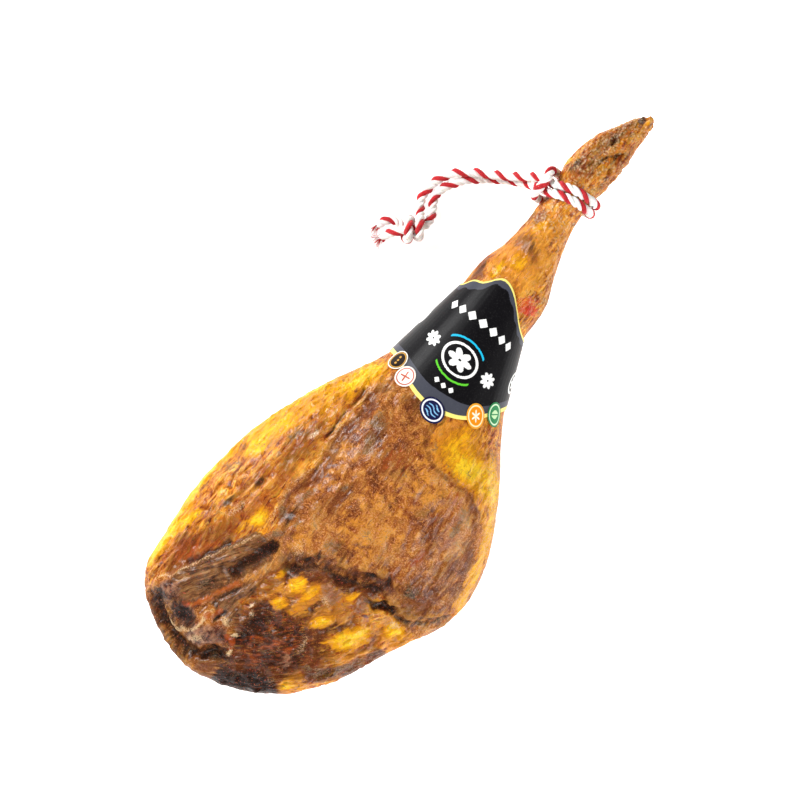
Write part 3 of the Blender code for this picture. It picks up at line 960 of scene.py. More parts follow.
@dataclass
class CuredHam:
    """The ham: a fine skin over its CAD solid, with creases and crust, and the tones it shows.

    The reliefs are pairs of a height in millimetres and the shape that it raises or sinks. Under
    the sleeve and the hitch the skin keeps low: those rows hold the middle along the ham and how
    far from it the skin starts and ends to be flattened.
    """

    node: bpy.types.Object
    sections: Sections
    rings: int = 466
    top_columns: int = 160
    bottom_columns: int = 40
    facet_steps: float = 2.4
    crust: CuredCrust = field(default_factory=CuredCrust)
    near_sway: Sway = Sway(2.6, 15, 1, 3)
    wide_sway: Sway = Sway(9.0, 38, 3, 4)
    strand_size: tuple[float, float, float] = (26.0, 6.5, 12.0)
    lump_size: float = 10.0
    wrinkle_size: float = 9.0
    under_size: float = 12.0
    bone_slant: float = -33.0
    swing_middle: tuple[float, float] = (-53.0, 200.0)
    swing_radius: float = 330.0
    kept_low: tuple[tuple[float, float, float], ...] = ((66, 76, 66), (225, 20, 16))
    reliefs: tuple[tuple[float, Shape], ...] = (
        (1.0, Band(SEAM, 1.8)), (-2.2, Band(SEAM_SHADOW, 2.6)), (-0.9, Band(SEAM, 3.5, shift=6.0)),
        (1.8, Band(BONE_CREST, 2.0)), (-2.6, Band(BONE_SHADE, 3.0)), (-6.5, Band(TROUGH, 8.5)),
        (2.4, Band(RED_THREAD, 2.6)), (1.8, Band(GRISTLE, 3.0)), (-1.8, Band(GRISTLE, 2.5, shift=4.5)),
        (2.6, Patch(-288, 91, 9, 8)), (-2.5, Patch(-297, 97, 6, 5)), (-3.5, Patch(-297, 67, 11, 8, 70)),
        (3.0, Band(CUP_RIM, 2.4)), (3.5, Patch(-303, 43, 13, 8, -40)), (2.0, Patch(-292, 30, 8, 6, -30)),
        (1.8, Patch(-283, 48, 5, 3, -40)), (-3.0, Patch(-278, 41, 6, 2.4, -10)),
        (2.2, Patch(-279, 32, 4, 6)), (2.2, Patch(-288, 20, 4, 5)), (2.0, Patch(-299, 13, 4, 3)),
        (-2.5, Patch(-283, 11, 9, 5, -20)), (-5.5, Band(HOLLOW, 5.0)), (1.8, Band(RIND_LIP, 3.0)),
        (-3.0, Band(MEAT_RIM, 4.0, shift=-1.0)), (-1.6, Band(MEAT_RIM, 7.0, shift=8.0)),
        (2.2, Band(MEAT_CREST, 4.5)), (-3.2, Patch(-186, 9, 6, 2.2, -35)),
        (-2.6, Patch(-177, 3, 5, 2, 25)), (-2.6, Patch(-162, -48, 2.2, 6.5, 20)),
        (-2.8, Patch(-155, -62, 6, 2, 35)), (-5.0, Patch(-179, -71, 12, 3.6, -66)),
        (-3.2, Band(CLEFT, 3.0)), (2.0, Band(CLEFT, 4.0, shift=7.0)), (-2.0, Band(INNER_CLEFT, 1.8)),
        (-1.2, Band(LOBE_CREASE, 2.5)), (2.6, Patch(-222, -66, 16, 8, -38)),
        (2.0, Patch(-222, -38, 12, 4.5, -35)), (2.0, Patch(-211, 2, 8, 6, -20)),
        (1.8, Patch(-234, 4, 6, 6)), (1.8, Patch(-190, -95, 9, 9, -60)),
        (1.5, Patch(-209, -13, 9, 4, -20)), (1.6, Patch(-185, 68, 9, 6)), (-1.4, Band(GREY_FOLD, 4.0)),
        (1.8, Band(ORANGE_FOLD, 5.0)), (-2.4, Band(FOOT_CREASE, 2.2)), (-1.5, Band(FOOT_FOLD, 2.0)),
        (-1.5, Band(HEEL_FOLD, 2.5)), (-5.0, Patch(330, 20, 5, 3.5, 20)),
    )
    tones: dict[Tone, tuple[Shape, ...]] = field(default_factory=lambda: HAM_TONES)

    def build(self) -> bpy.types.Object:
        """Build the skin, lay the tones on it and dress it.

        Returns:
            The ham, which stands for its CAD node.
        """
        grid = self.laid_skin()
        flat, normals = grid.reshape(-1, 3), self.normals_of(grid).reshape(-1, 3)
        near, wide = self.near_sway.places(flat), self.wide_sway.places(flat)
        upper = smooth_step(-0.15, 0.35, normals[:, 2])
        facing = smooth_step(-0.4, 0.05, normals[:, 2])
        heights = self.heights(flat, *near, upper)
        # How far each point lies below its neighbours: it lays painted shade in hollows and painted highlight
        # on ridges
        painted_cavity_shading = self.blurred(heights.reshape(grid.shape[:2]), 4).ravel() - heights
        flat = flat + normals * heights[:, None]
        flat[:, 2] = np.maximum(flat[:, 2], 0)
        count, around = grid.shape[:2]
        ends = [flat[:around].mean(axis=0), flat[-around:].mean(axis=0)]
        first, base = len(flat), (count - 1) * around
        faces = grid_faces(count, around)
        faces += [((j + 1) % around, j, first) for j in range(around)]
        faces += [(base + j, base + (j + 1) % around, first + 1) for j in range(around)]
        points = np.vstack([flat, *ends])
        piece = make_piece("ham_skin", points, turned_over(faces), [self.crust.material()])
        for tone, shapes in self.tones.items():
            values = self.covered(shapes, *(near if tone in LOCAL_TONES else wide)) * facing
            if tone is Tone.RIND:
                values = np.maximum(values, 1 - facing)
            store(piece, tone.value, np.concatenate([values, values[[0, -1]]]))
        store(piece, "painted_cavity_shading", np.concatenate([painted_cavity_shading, [0, 0]]))
        store(piece, "fibres", np.vstack([self.fibre_run(flat), ends]))
        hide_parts("ham")
        return piece

    def laid_skin(self) -> np.ndarray:
        """Lay a grid of points on the CAD solid and smooth its facets away.

        Returns:
            Rings of points.
        """
        turn = np.linspace(0, np.pi, self.rings + 2)[1:-1]
        half = self.node.dimensions.x / MM / 2
        x = half * (0.62 * (2 * turn / np.pi - 1) - 0.38 * np.cos(turn))
        top = np.linspace(0, np.pi, self.top_columns, endpoint=False)
        bottom = np.linspace(np.pi, 2 * np.pi, self.bottom_columns, endpoint=False)
        angle = np.concatenate([top, bottom])
        middle_y, middle_z, half_y, half_z = self.sections.at(x)
        tree = tree_of(self.node)
        grid = np.zeros((len(x), len(angle), 3))
        for i, (px, my, mz, hy, hz) in enumerate(zip(x, middle_y, middle_z, half_y, half_z)):
            start = Vector((px, my, mz))
            for j, a in enumerate(angle):
                way = Vector((0, hy * math.cos(a), hz * math.sin(a))).normalized()
                hit = tree.ray_cast(start, way)[0]
                grid[i, j] = hit if hit is not None else start
        return self.blurred(grid, self.facet_steps)

    @staticmethod
    def blurred(grid: np.ndarray, spread: float) -> np.ndarray:
        """Even out values laid on the rings.

        Args:
            grid: Values or points, ring by ring.
            spread: Over how many grid steps.

        Returns:
            The evened values.
        """
        reach = round(2.5 * spread)
        steps = range(-reach, reach + 1)
        weights = np.exp(-((np.arange(-reach, reach + 1) / spread) ** 2) / 2)
        weights /= weights.sum()
        around = sum(w * np.roll(grid, k, axis=1) for w, k in zip(weights, steps))
        padded = carried_on(around, reach)
        return sum(w * padded[k : k + len(grid)] for k, w in enumerate(weights))

    @staticmethod
    def normals_of(grid: np.ndarray) -> np.ndarray:
        """Work out which way the skin faces.

        Args:
            grid: Rings of points.

        Returns:
            The outward direction at each point.
        """
        along = np.gradient(grid, axis=0)
        around = np.roll(grid, -1, axis=1) - np.roll(grid, 1, axis=1)
        normals = np.cross(around, along)
        return normals / np.maximum(np.linalg.norm(normals, axis=2, keepdims=True), 1e-9)

    @staticmethod
    def covered(shapes: Sequence[Shape], x: np.ndarray, y: np.ndarray) -> np.ndarray:
        """Give how much several shapes cover each place together.

        Args:
            shapes: The shapes.
            x: Places along the ham.
            y: Places across it.

        Returns:
            Values from 0 to 1.
        """
        bare = np.ones(x.shape)
        for shape in shapes:
            bare *= 1 - np.clip(shape.cover(x, y), 0, 1)
        return 1 - bare

    def heights(self, flat: np.ndarray, x: np.ndarray, y: np.ndarray, upper: np.ndarray) -> np.ndarray:
        """Give how far each point moves out of the smooth skin.

        Args:
            flat: The skin's points.
            x: Their wavering places along the ham.
            y: Their wavering places across it.
            upper: How much each point faces up.

        Returns:
            Heights in millimetres.
        """
        forms = sum(height * shape.cover(x, y) for height, shape in self.reliefs)
        rind, lean = Side(FLANK_EDGE, 8).cover(x, y), Side(LEAN_EDGE, 8).cover(x, y)
        rim = Band(MEAT_RIM, 12, shift=10).cover(x, y)
        bone = Band(BONE_MIDDLE, 16).cover(x, y)
        shank, foot = smooth_step(-10, 40, x), smooth_step(238, 256, x)
        lumps = clouds(flat, self.lump_size, 5, 4) * (0.8 + 0.7 * lean + 1.3 * rim) * (1 - 0.6 * bone)
        strands = clouds(self.fibre_run(flat) / np.array(self.strand_size), 1, 8, 3)
        strands = (2.6 * np.abs(strands) - 0.7) * (1.1 + 0.7 * rind + 0.9 * lean) * (1 - 0.7 * shank)
        wrinkles = foot * (0.6 - 3.2 * np.abs(clouds(flat, self.wrinkle_size, 12, 4)))
        height = (forms + lumps + strands) * upper + wrinkles
        height += 0.5 * clouds(flat, self.under_size, 6, 3) * (1 - upper)
        height *= 1 - smooth_step(12, 4, flat[:, 2]) * (1 - upper)
        low = np.maximum(*(smooth_step(a, b, np.abs(flat[:, 0] - middle)) for middle, a, b in self.kept_low))
        return np.where(low > 0, np.minimum(height, 0.4 + 3 * (1 - low)), height)

    def fibre_run(self, flat: np.ndarray) -> np.ndarray:
        """Give each place along, across and up the run of the fibres there.

        Args:
            flat: The skin's points.

        Returns:
            Rows of three lengths: along the fibres, across them and up.
        """
        x, y, z = flat.T
        cos, sin = math.cos(math.radians(self.bone_slant)), math.sin(math.radians(self.bone_slant))
        slanted = np.column_stack([x * cos + y * sin, y * cos - x * sin, z])
        a, b = x - self.swing_middle[0], y - self.swing_middle[1]
        swung = np.column_stack([np.arctan2(b, a) * self.swing_radius, np.hypot(a, b), z])
        lower = (Band(MEAT_RIM, 1).beside(x, y)[0] < 0) & (x < -165) & (y < 30)
        bone = Band(BONE_MIDDLE, 14).cover(x, y) > 0.35
        return np.where(bone[:, None], slanted, np.where(lower[:, None], swung, flat))


HAM_TONES: dict[Tone, tuple[Shape, ...]] = {
    Tone.RIND: (
        Side(FLANK_EDGE, 5), Side(RIM_EDGE, 6), Side(LEAN_EDGE, 7),
        Patch(128, 25, 102, 90),
    ),
    Tone.LEAN: (
        Band(BLACK_EDGE, 14, 0.9), Band(MEAT_RIM, 10, 0.8, shift=-6), Band(GREY_FOLD, 7, 0.8),
        *ovals(
            (-290, -14, 46, 32, -28), (-256, -8, 24, 32, 0, 0.95), (-268, 14, 24, 12, -10, 0.8),
            (-246, -38, 20, 16, -40, 0.75), (-262, -52, 34, 9, -35, 0.55), (-218, -22, 12, 4, -20, 0.6),
            (-214, -50, 20, 4, -35, 0.7), (-212, -84, 16, 5, -20, 0.7), (-248, 100, 12, 14, -20, 0.5),
        ),
    ),
    Tone.AMBER: (
        Band(ORANGE_FOLD, 6, 0.75),
        *ovals(
            (-14, -24, 24, 24, 0, 0.8), (150, 22, 60, 24, 0, 0.9), (290, 16, 40, 16, -10, 0.4),
            (-60, -40, 24, 30, 20, 0.5), (-130, -20, 30, 26, 0, 0.5), (-100, 44, 40, 10, 0, 0.45),
            (-178, 26, 18, 10, 0, 0.6), (-218, -20, 30, 40, 30, 0.8), (-195, -92, 26, 14, 0, 0.7),
            (-290, -52, 20, 10, -36, 0.8), (-40, 80, 50, 12, -16, 0.6), (140, 30, 24, 18, 0, 0.8),
            (190, 28, 30, 8, -20, 0.5),
        ),
    ),
    # Brown crust; the patches at (-156, -92) and (-15, 14) and the band beside the meat rim are painted shade
    Tone.BROWN_AND_SHADE: (
        Band(MEAT_RIM, 9, 0.85, shift=9), Band(RIM_EDGE, 4, 0.6, shift=-4), Band(RIND_LIP, 9, 0.85),
        *ovals(
            (-156, -92, 20, 22, 0, 0.85), (-216, -24, 26, 50, 15, 0.6), (-228, 26, 26, 8, -15, 0.6),
            (-318, 30, 14, 40, 10, 0.8), (-118, -100, 40, 12, -8, 0.62), (-95, -68, 36, 9, 5, 0.6),
            (-62, 2, 20, 16, 0, 0.6), (-128, 22, 28, 9, -10, 0.66), (-95, 54, 80, 5, 0, 0.66),
            (-40, 52, 26, 7, 6, 0.6), (-150, -48, 14, 8, 40, 0.55), (-243, 100, 9, 20, 0, 1.0),
            (-262, 102, 16, 9, -30, 0.9), (-225, 92, 22, 7, -28, 0.8), (-200, 88, 30, 6, -20, 0.55),
            (-120, 74, 44, 7, 0, 0.6), (-165, 92, 24, 6, -10, 0.6), (-84, 84, 50, 6, 0, 0.55),
            (-15, 14, 12, 12, 0, 0.8), (118, 53, 36, 5, -4, 1.0), (196, 36, 8, 5, -10, 0.8),
            (172, 27, 14, 6, 30, 0.85), (176, 36, 14, 4, -20, 0.7), (138, -14, 16, 5, 20, 0.7),
            (190, 45, 30, 3, 0, 0.7), (280, 24, 44, 26, 0, 0.3), (262, 38, 20, 8, 0, 0.5),
            (300, 30, 20, 6, -20, 0.7), (252, 36, 16, 12, 0, 0.55),
        ),
    ),
    Tone.BONE: (
        Band(BONE_MIDDLE, 19), Band(GRISTLE, 6, 0.9),
        Patch(-270, 32, 12, 12, 0, 0.75),
    ),
    Tone.FAT: (
        Band(RIM_MIDDLE, 6, 0.8), Band(FLANK_RIM, 9, 0.95), Band(FLANK_FAT, 12, 0.6),
        *ovals(
            (-28, -58, 14, 24, 4), (-33, -84, 10, 8, 20, 0.8), (-14, -34, 20, 16, 0, 0.62),
            (-22, 75, 22, 8, -14, 0.85), (-4, 66, 12, 6, -10, 0.6), (-137, 111, 13, 7, -10, 0.8),
            (-110, 106, 20, 7, -10, 0.42), (-184, 69, 10, 6, -15, 0.95), (-200, 75, 9, 4, -15, 0.6),
            (-262, 124, 24, 4, 2, 0.95), (-226, 117, 15, 4.5, -5, 0.9), (-222, -66, 19, 9, -38, 1.0),
            (-206, -74, 8, 7, -30, 0.6), (-223, -38, 14, 5, -35, 0.95), (-211, 2, 9, 6.5, -20, 0.95),
            (-234, 4, 7, 7, 0, 0.75), (-209, -13, 11, 4.5, -20, 0.8), (-229, -11, 9, 4, -30, 0.55),
            (-210, 19, 7, 3.5, -10, 0.75), (-187, -44, 7, 3, -40, 0.75), (-190, -96, 8, 10, 20, 0.9),
            (-184, -88, 8, 5, 0, 0.6), (-290, -50, 9, 5, -40, 0.85), (135, 38, 10, 6, -10, 0.85),
            (152, 27, 10, 8, -20, 0.66), (188, 32, 16, 4, -30, 0.6), (331, 14, 5, 3, 0, 0.7),
        ),
    ),
    Tone.PLUM: (
        *ovals(
            (-288, 90, 9, 9), (-297, 67, 12, 9, 70), (-303, 43, 15, 9, -40), (-294, 30, 10, 8, -30, 0.9),
            (-197, -28, 8, 13, 0, 0.62), (-190, -56, 9, 9, 0, 0.62), (-272, -32, 8, 8, 0, 0.5),
        ),
    ),
    # Painted shade in the hollows, trough, clefts, creases, holes and under the rims, with some black crust
    Tone.SHADE_AND_DARK_CRUST: (
        Band(HOLLOW, 8, 0.72), Band(TROUGH, 6.5, 0.66), Band(BONE_SHADE, 3.5, 0.75),
        Band(MEAT_RIM, 5, 0.62), Band(MEAT_RIM, 7, 0.34, shift=9), Band(CLEFT, 3.2, 0.56),
        Band(INNER_CLEFT, 2.0, 0.5), Band(SEAM_SHADOW, 2.4, 0.55), Band(BLACK_EDGE, 12),
        Band(RUMP_STREAK, 4, 0.5), Band(GREY_FOLD, 4, 0.34),
        Band(FOOT_CREASE, 2, 0.5),
        *ovals(
            (-200, 42, 8, 6, -25, 0.75), (-298, 97, 7, 8, 0, 0.9), (-297, 69, 14, 10, 70, 0.95),
            (-278, 41, 7, 2.6, -10, 0.95), (-292, 27, 9, 5, -30, 0.5), (-186, 9, 6, 2.2, -35, 0.6),
            (-177, 3, 5, 2, 25, 0.5), (-162, -48, 2.2, 6.5, 20, 0.5), (-155, -62, 6, 2, 35, 0.5),
            (-181, -64, 9, 3.2, -66, 0.95), (-177, -76, 9, 3.4, -75, 0.95),
            (-312, -22, 14, 20, 30, 0.95), (-283, 11, 12, 6, -25, 0.8), (-262, 12, 16, 11, -20, 0.62),
            (-160, -8, 7, 9, 0, 0.55), (-191, 100, 8, 3, -20, 0.75), (-157, 88, 9, 3, -10, 0.7),
            (-105, 90, 12, 3, 0, 0.5), (-168, 45, 18, 3, 8, 0.6), (-67, -8, 5, 3, 0, 0.6),
            (-152, -84, 5, 9, 20, 0.5), (172, 27, 10, 4, 30, 0.45), (128, 52, 22, 2, -4, 0.5),
            (256, 42, 12, 5, 0, 0.55), (300, 27, 12, 4, -20, 0.5), (328, 21, 4, 3),
        ),
    ),
    Tone.MOULD: (
        Band(GREY_FOLD, 5, 0.45),
        *ovals(
            (-53, 33, 16, 9, 10, 0.85), (-38, 50, 16, 4, 0, 0.5), (-138, 42, 10, 4, 10, 0.6),
            (-166, 57, 9, 5, 0, 0.75), (-160, 41, 14, 3.5, 0, 0.5), (-122, 24, 14, 4, -10, 0.55),
            (-105, 90, 12, 4, 0, 0.5), (-190, 50, 8, 5, -20, 0.66), (-160, -5, 9, 9, 0, 0.5),
            (-150, -86, 7, 9, 0, 0.62), (-76, -84, 14, 5, 10, 0.55), (-120, -118, 30, 4, -6, 0.5),
            (-256, 66, 20, 5, -28, 0.6),
        ),
    ),
    # Pale crust, cream rims and flakes; the specks at (-253, 23), (-258, 18) and (-249, -36) are painted
    # highlight glints
    Tone.PALE_AND_GLINTS: (
        Band(BONE_CREST, 1.6, 0.5), Band(CUP_RIM, 1.3, 0.85), Band(SEAM, 1.1, 0.6),
        Band(RIM_MIDDLE, 9, 0.34),
        *ovals(
            (-306, 45, 7, 3.5, -40, 0.6), (-279, 33, 3, 6, 0, 0.66), (-299, 13, 4, 2.2, 0, 0.75),
            (-285, 17, 2.5, 2.5, 0, 1.0), (-253, 23, 2, 1.4, 0, 1.0), (-258, 18, 3, 3, 0, 0.45),
            (-249, -36, 8, 3, -10, 0.4), (-190, 90, 12, 4, -20, 0.4), (-184, 22, 9, 7, 0, 0.36),
            (-184, -90, 4, 5, 0, 0.6), (-206, -27, 4, 5, 0, 0.5), (-92, 76, 8, 2.5, -10, 0.6),
        ),
    ),
    Tone.RED: (
        Band(RED_THREAD, 3.6, 0.72),
        *ovals(
            (-285, 49, 4, 2.6, -40, 1.0), (-277, 44, 4, 2.6, -40, 1.0), (-289, 22, 3, 4, 0, 1.0),
            (-292, 15, 4, 2.5, 0, 0.9), (-246, 102, 20, 14, -28, 0.5), (-60, 6, 16, 14, 0, 0.45),
            (-62, -65, 28, 8, 0, 0.45), (-125, -70, 16, 6, 0, 0.45), (-165, 78, 34, 9, -10, 0.42),
            (-270, -14, 30, 20, -30, 0.36),
        ),
    ),
    Tone.STAIN: (
        *ovals(
            (122, -6, 8, 5, -60, 1.0), (128, -1, 9, 3, -60, 0.6),
        ),
    ),
    Tone.PORES: (
        *ovals(
            (210, 25, 20, 60), (144, -8, 20, 12, 0, 0.6), (160, 2, 26, 5, 12, 0.7),
            (285, 22, 56, 60, 0, 0.8),
        ),
    ),
}
# The small tones, whose outlines sway the least
LOCAL_TONES = (Tone.BONE, Tone.PLUM, Tone.PALE_AND_GLINTS, Tone.SHADE_AND_DARK_CRUST, Tone.FAT, Tone.RED, Tone.STAIN)


# The paper sleeve and its seals


@dataclass
class PaperSleeve:
    """The printed paper cone round the shank."""

    node: bpy.types.Object
    sections: Sections
    columns: int = 520
    rows: int = 150
    wall: float = 0.5
    edging: float = 4.0
    top_edging: float = 2.0
    middle_angle: float = 84.0
    key_angles: int = 60
    key_reach: float = 2.6
    rim_depth: float = 1.5
    ray_start: float = 120.0
    largest_move: float = 6.0
    paper: PrintedPaper = PrintedPaper(
        "coated_paper_black_print",
        "#0E0D10",
        (
            ("ink_grey", "#43454F"),
            ("ink_white", "#F4F4F2"),
            ("ink_blue", "#1FB4DC"),
            ("ink_green", "#5CC531"),
            ("ink_yellow", "#F3E37A"),
        ),
    )
    medals: tuple[tuple[float, float, float], ...] = ((0, 46, 14), (66, 60, 9), (-66, 60, 9))
    stars: tuple[tuple[float, float], ...] = ((27.5, 47), (-27.5, 47))
    ring_width: float = 2.2
    flower_share: float = 0.72
    star_radius: float = 7.5
    upper_row: float = 86.0
    lower_row: float = 18.0
    arc_radius: float = 20.0
    arc_width: float = 1.8
    arc_half: float = 15.0

    def build(self) -> bpy.types.Object:
        """Build the cone finer than its CAD solid and print it.

        Returns:
            The sleeve, which stands for its CAD node.
        """
        low, high = self.rims()
        share = np.linspace(0, 1, self.rows)[:, None, None]
        outer = self.on_solid(low[None] + (high - low)[None] * share)
        middle_y, middle_z, _, _ = self.sections.at(outer[..., 0])
        outward = unit(np.stack([0 * middle_y, outer[..., 1] - middle_y, outer[..., 2] - middle_z], axis=-1))
        inner = outer[[0, -1]] - outward[[0, -1]] * self.wall
        points = np.vstack([inner[0], *outer, inner[1]])
        around, last = self.columns, len(points) - self.columns
        faces = grid_faces(self.rows + 2, around)
        faces += [(last + j, last + (j + 1) % around, (j + 1) % around, j) for j in range(around)]
        piece = make_piece("label_sleeve_paper", points, faces, [self.paper.material()])
        for name, values in self.inks(points, low, high).items():
            store(piece, name, values)
        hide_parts("label_sleeve")
        return piece

    def rims(self) -> tuple[np.ndarray, np.ndarray]:
        """Read the solid's two outer rims, ordered round the ham.

        Returns:
            The lower and the upper rim, a point for each column.
        """
        points = points_of(self.node)
        middle_y, middle_z, half_y, half_z = self.sections.at(points[:, 0])
        across, up = (points[:, 1] - middle_y) / half_y, (points[:, 2] - middle_z) / half_z
        angle = np.mod(np.arctan2(up, across), 2 * np.pi)
        reach = np.hypot(points[:, 1] - middle_y, points[:, 2] - middle_z)
        wanted = np.linspace(0, 2 * np.pi, self.columns, endpoint=False)
        whole = np.array((2 * np.pi, 0, 0, 0))
        rims = []
        for lower in (True, False):
            keys = []
            for centre in np.linspace(0, 2 * np.pi, self.key_angles, endpoint=False):
                away = np.abs((angle - centre + np.pi) % (2 * np.pi) - np.pi)
                near = away < math.radians(self.key_reach)
                x = points[near, 0]
                edge = x.min() if lower else x.max()
                at_edge = near & (np.abs(points[:, 0] - edge) < self.rim_depth)
                outer = np.flatnonzero(at_edge)[reach[at_edge].argmax()]
                keys.append((angle[outer], *points[outer]))
            rows = np.array(sorted(keys))
            rows = np.vstack([rows[-3:] - whole, rows, rows[:3] + whole])
            rows = rows[np.unique(rows[:, 0], return_index=True)[1]]
            rims.append(np.column_stack([np.interp(wanted, rows[:, 0], axis) for axis in rows.T[1:]]))
        return rims[0], rims[1]

    def on_solid(self, straight: np.ndarray) -> np.ndarray:
        """Move points straight out from the ham's middle line onto the solid's outer side.

        Args:
            straight: Rows of points between the two rims.

        Returns:
            The moved points.
        """
        tree = tree_of(self.node)
        moved = straight.copy()
        for i in range(1, len(straight) - 1):
            middle_y, middle_z, _, _ = self.sections.at(straight[i, :, 0])
            for j, (place, my, mz) in enumerate(zip(straight[i], middle_y, middle_z)):
                way = Vector((0, place[1] - my, place[2] - mz)).normalized()
                hit = tree.ray_cast(Vector((place[0], my, mz)) + way * self.ray_start, -way)[0]
                if hit is not None and (hit - Vector(place)).length < self.largest_move:
                    moved[i, j] = hit
        weights = np.array((1, 4, 9, 12, 9, 4, 1)) / 40
        return sum(w * np.roll(moved, k, axis=1) for w, k in zip(weights, range(-3, 4)))

    def inks(self, points: np.ndarray, low: np.ndarray, high: np.ndarray) -> dict[str, np.ndarray]:
        """Work out where each ink lies.

        The print is a plain black field with a yellow edge and a grey band inside it, a flower in
        a ring between two stars, a row of lozenges above them, three below and two arcs.

        Args:
            points: The shell's points, row by row.
            low: The lower rim.
            high: The upper rim.

        Returns:
            An attribute name and a value for each point, by ink.
        """
        column = np.tile(np.arange(self.columns), len(points) // self.columns)
        from_low = np.linalg.norm(points - low[column], axis=1)
        from_high = np.linalg.norm(points - high[column], axis=1)
        _, _, half_y, half_z = self.sections.at(points[:, 0])
        turn = np.mod(self.middle_angle - column / self.columns * 360 + 180, 360) - 180
        across = np.radians(turn) * (half_y + half_z) / 2
        along = points[:, 0]

        def inside(distance: np.ndarray) -> np.ndarray:
            """Give 1 where a signed distance is negative, with a soft edge."""
            return smooth_step(0.4, -0.4, distance)

        def ring(a: float, b: float, radius: float, width: float) -> np.ndarray:
            """Give the signed distance to a ring round a place."""
            return np.abs(np.hypot(across - a, along - b) - radius) - width / 2

        def star(a: float, b: float, radius: float, arms: int, depth: float) -> np.ndarray:
            """Give the signed distance to a star or a flower with a small hole."""
            away = np.hypot(across - a, along - b)
            spread = np.abs(np.cos(arms / 2 * np.arctan2(along - b, across - a)))
            return np.maximum(away - radius * (1 - depth + depth * spread), radius * 0.12 - away)

        def lozenge(a: float, b: float, size: float) -> np.ndarray:
            """Give the signed distance to a lozenge."""
            return np.abs(across - a) + np.abs(along - b) * 0.8 - size

        yellow = np.maximum(inside(from_low - self.edging), inside(from_high - self.top_edging))
        belly = 6 + 8 * np.exp(-((across / 36) ** 2))
        ripple = 5.5 + 1.0 * np.sin(across / 1.9) + 3.5 * np.exp(-(((across - 26) / 12) ** 2))
        grey = np.maximum(
            inside(from_low - self.edging - belly), inside(from_high - self.top_edging - ripple)
        )
        shapes = [ring(*medal, self.ring_width) for medal in self.medals]
        shapes += [star(a, b, radius * self.flower_share, 6, 0.5) for a, b, radius in self.medals]
        shapes += [star(a, b, self.star_radius, 8, 0.4) for a, b in self.stars]
        shapes += [lozenge(k * 9.5, self.upper_row - 0.35 * abs(k) ** 1.7, 4.0) for k in range(-3, 4)]
        shapes += [lozenge(k * 6.5, self.lower_row + 0.8 * k * k, 2.4) for k in (-1, 0, 1)]
        middle = self.medals[0][1]
        arc = inside(ring(0, middle, self.arc_radius, self.arc_width))
        arc = arc * inside(np.abs(across) - self.arc_half)
        return {
            "ink_grey": grey,
            "ink_white": np.maximum.reduce([inside(shape) for shape in shapes]),
            "ink_blue": arc * inside(middle - along),
            "ink_green": arc * inside(along - middle),
            "ink_yellow": yellow,
        }


class Sign(Enum):
    """What a seal shows inside its ring."""

    DOTS = "dots"
    CROSS = "cross"
    WAVES = "waves"
    STAR = "star"
    LEAF = "leaf"


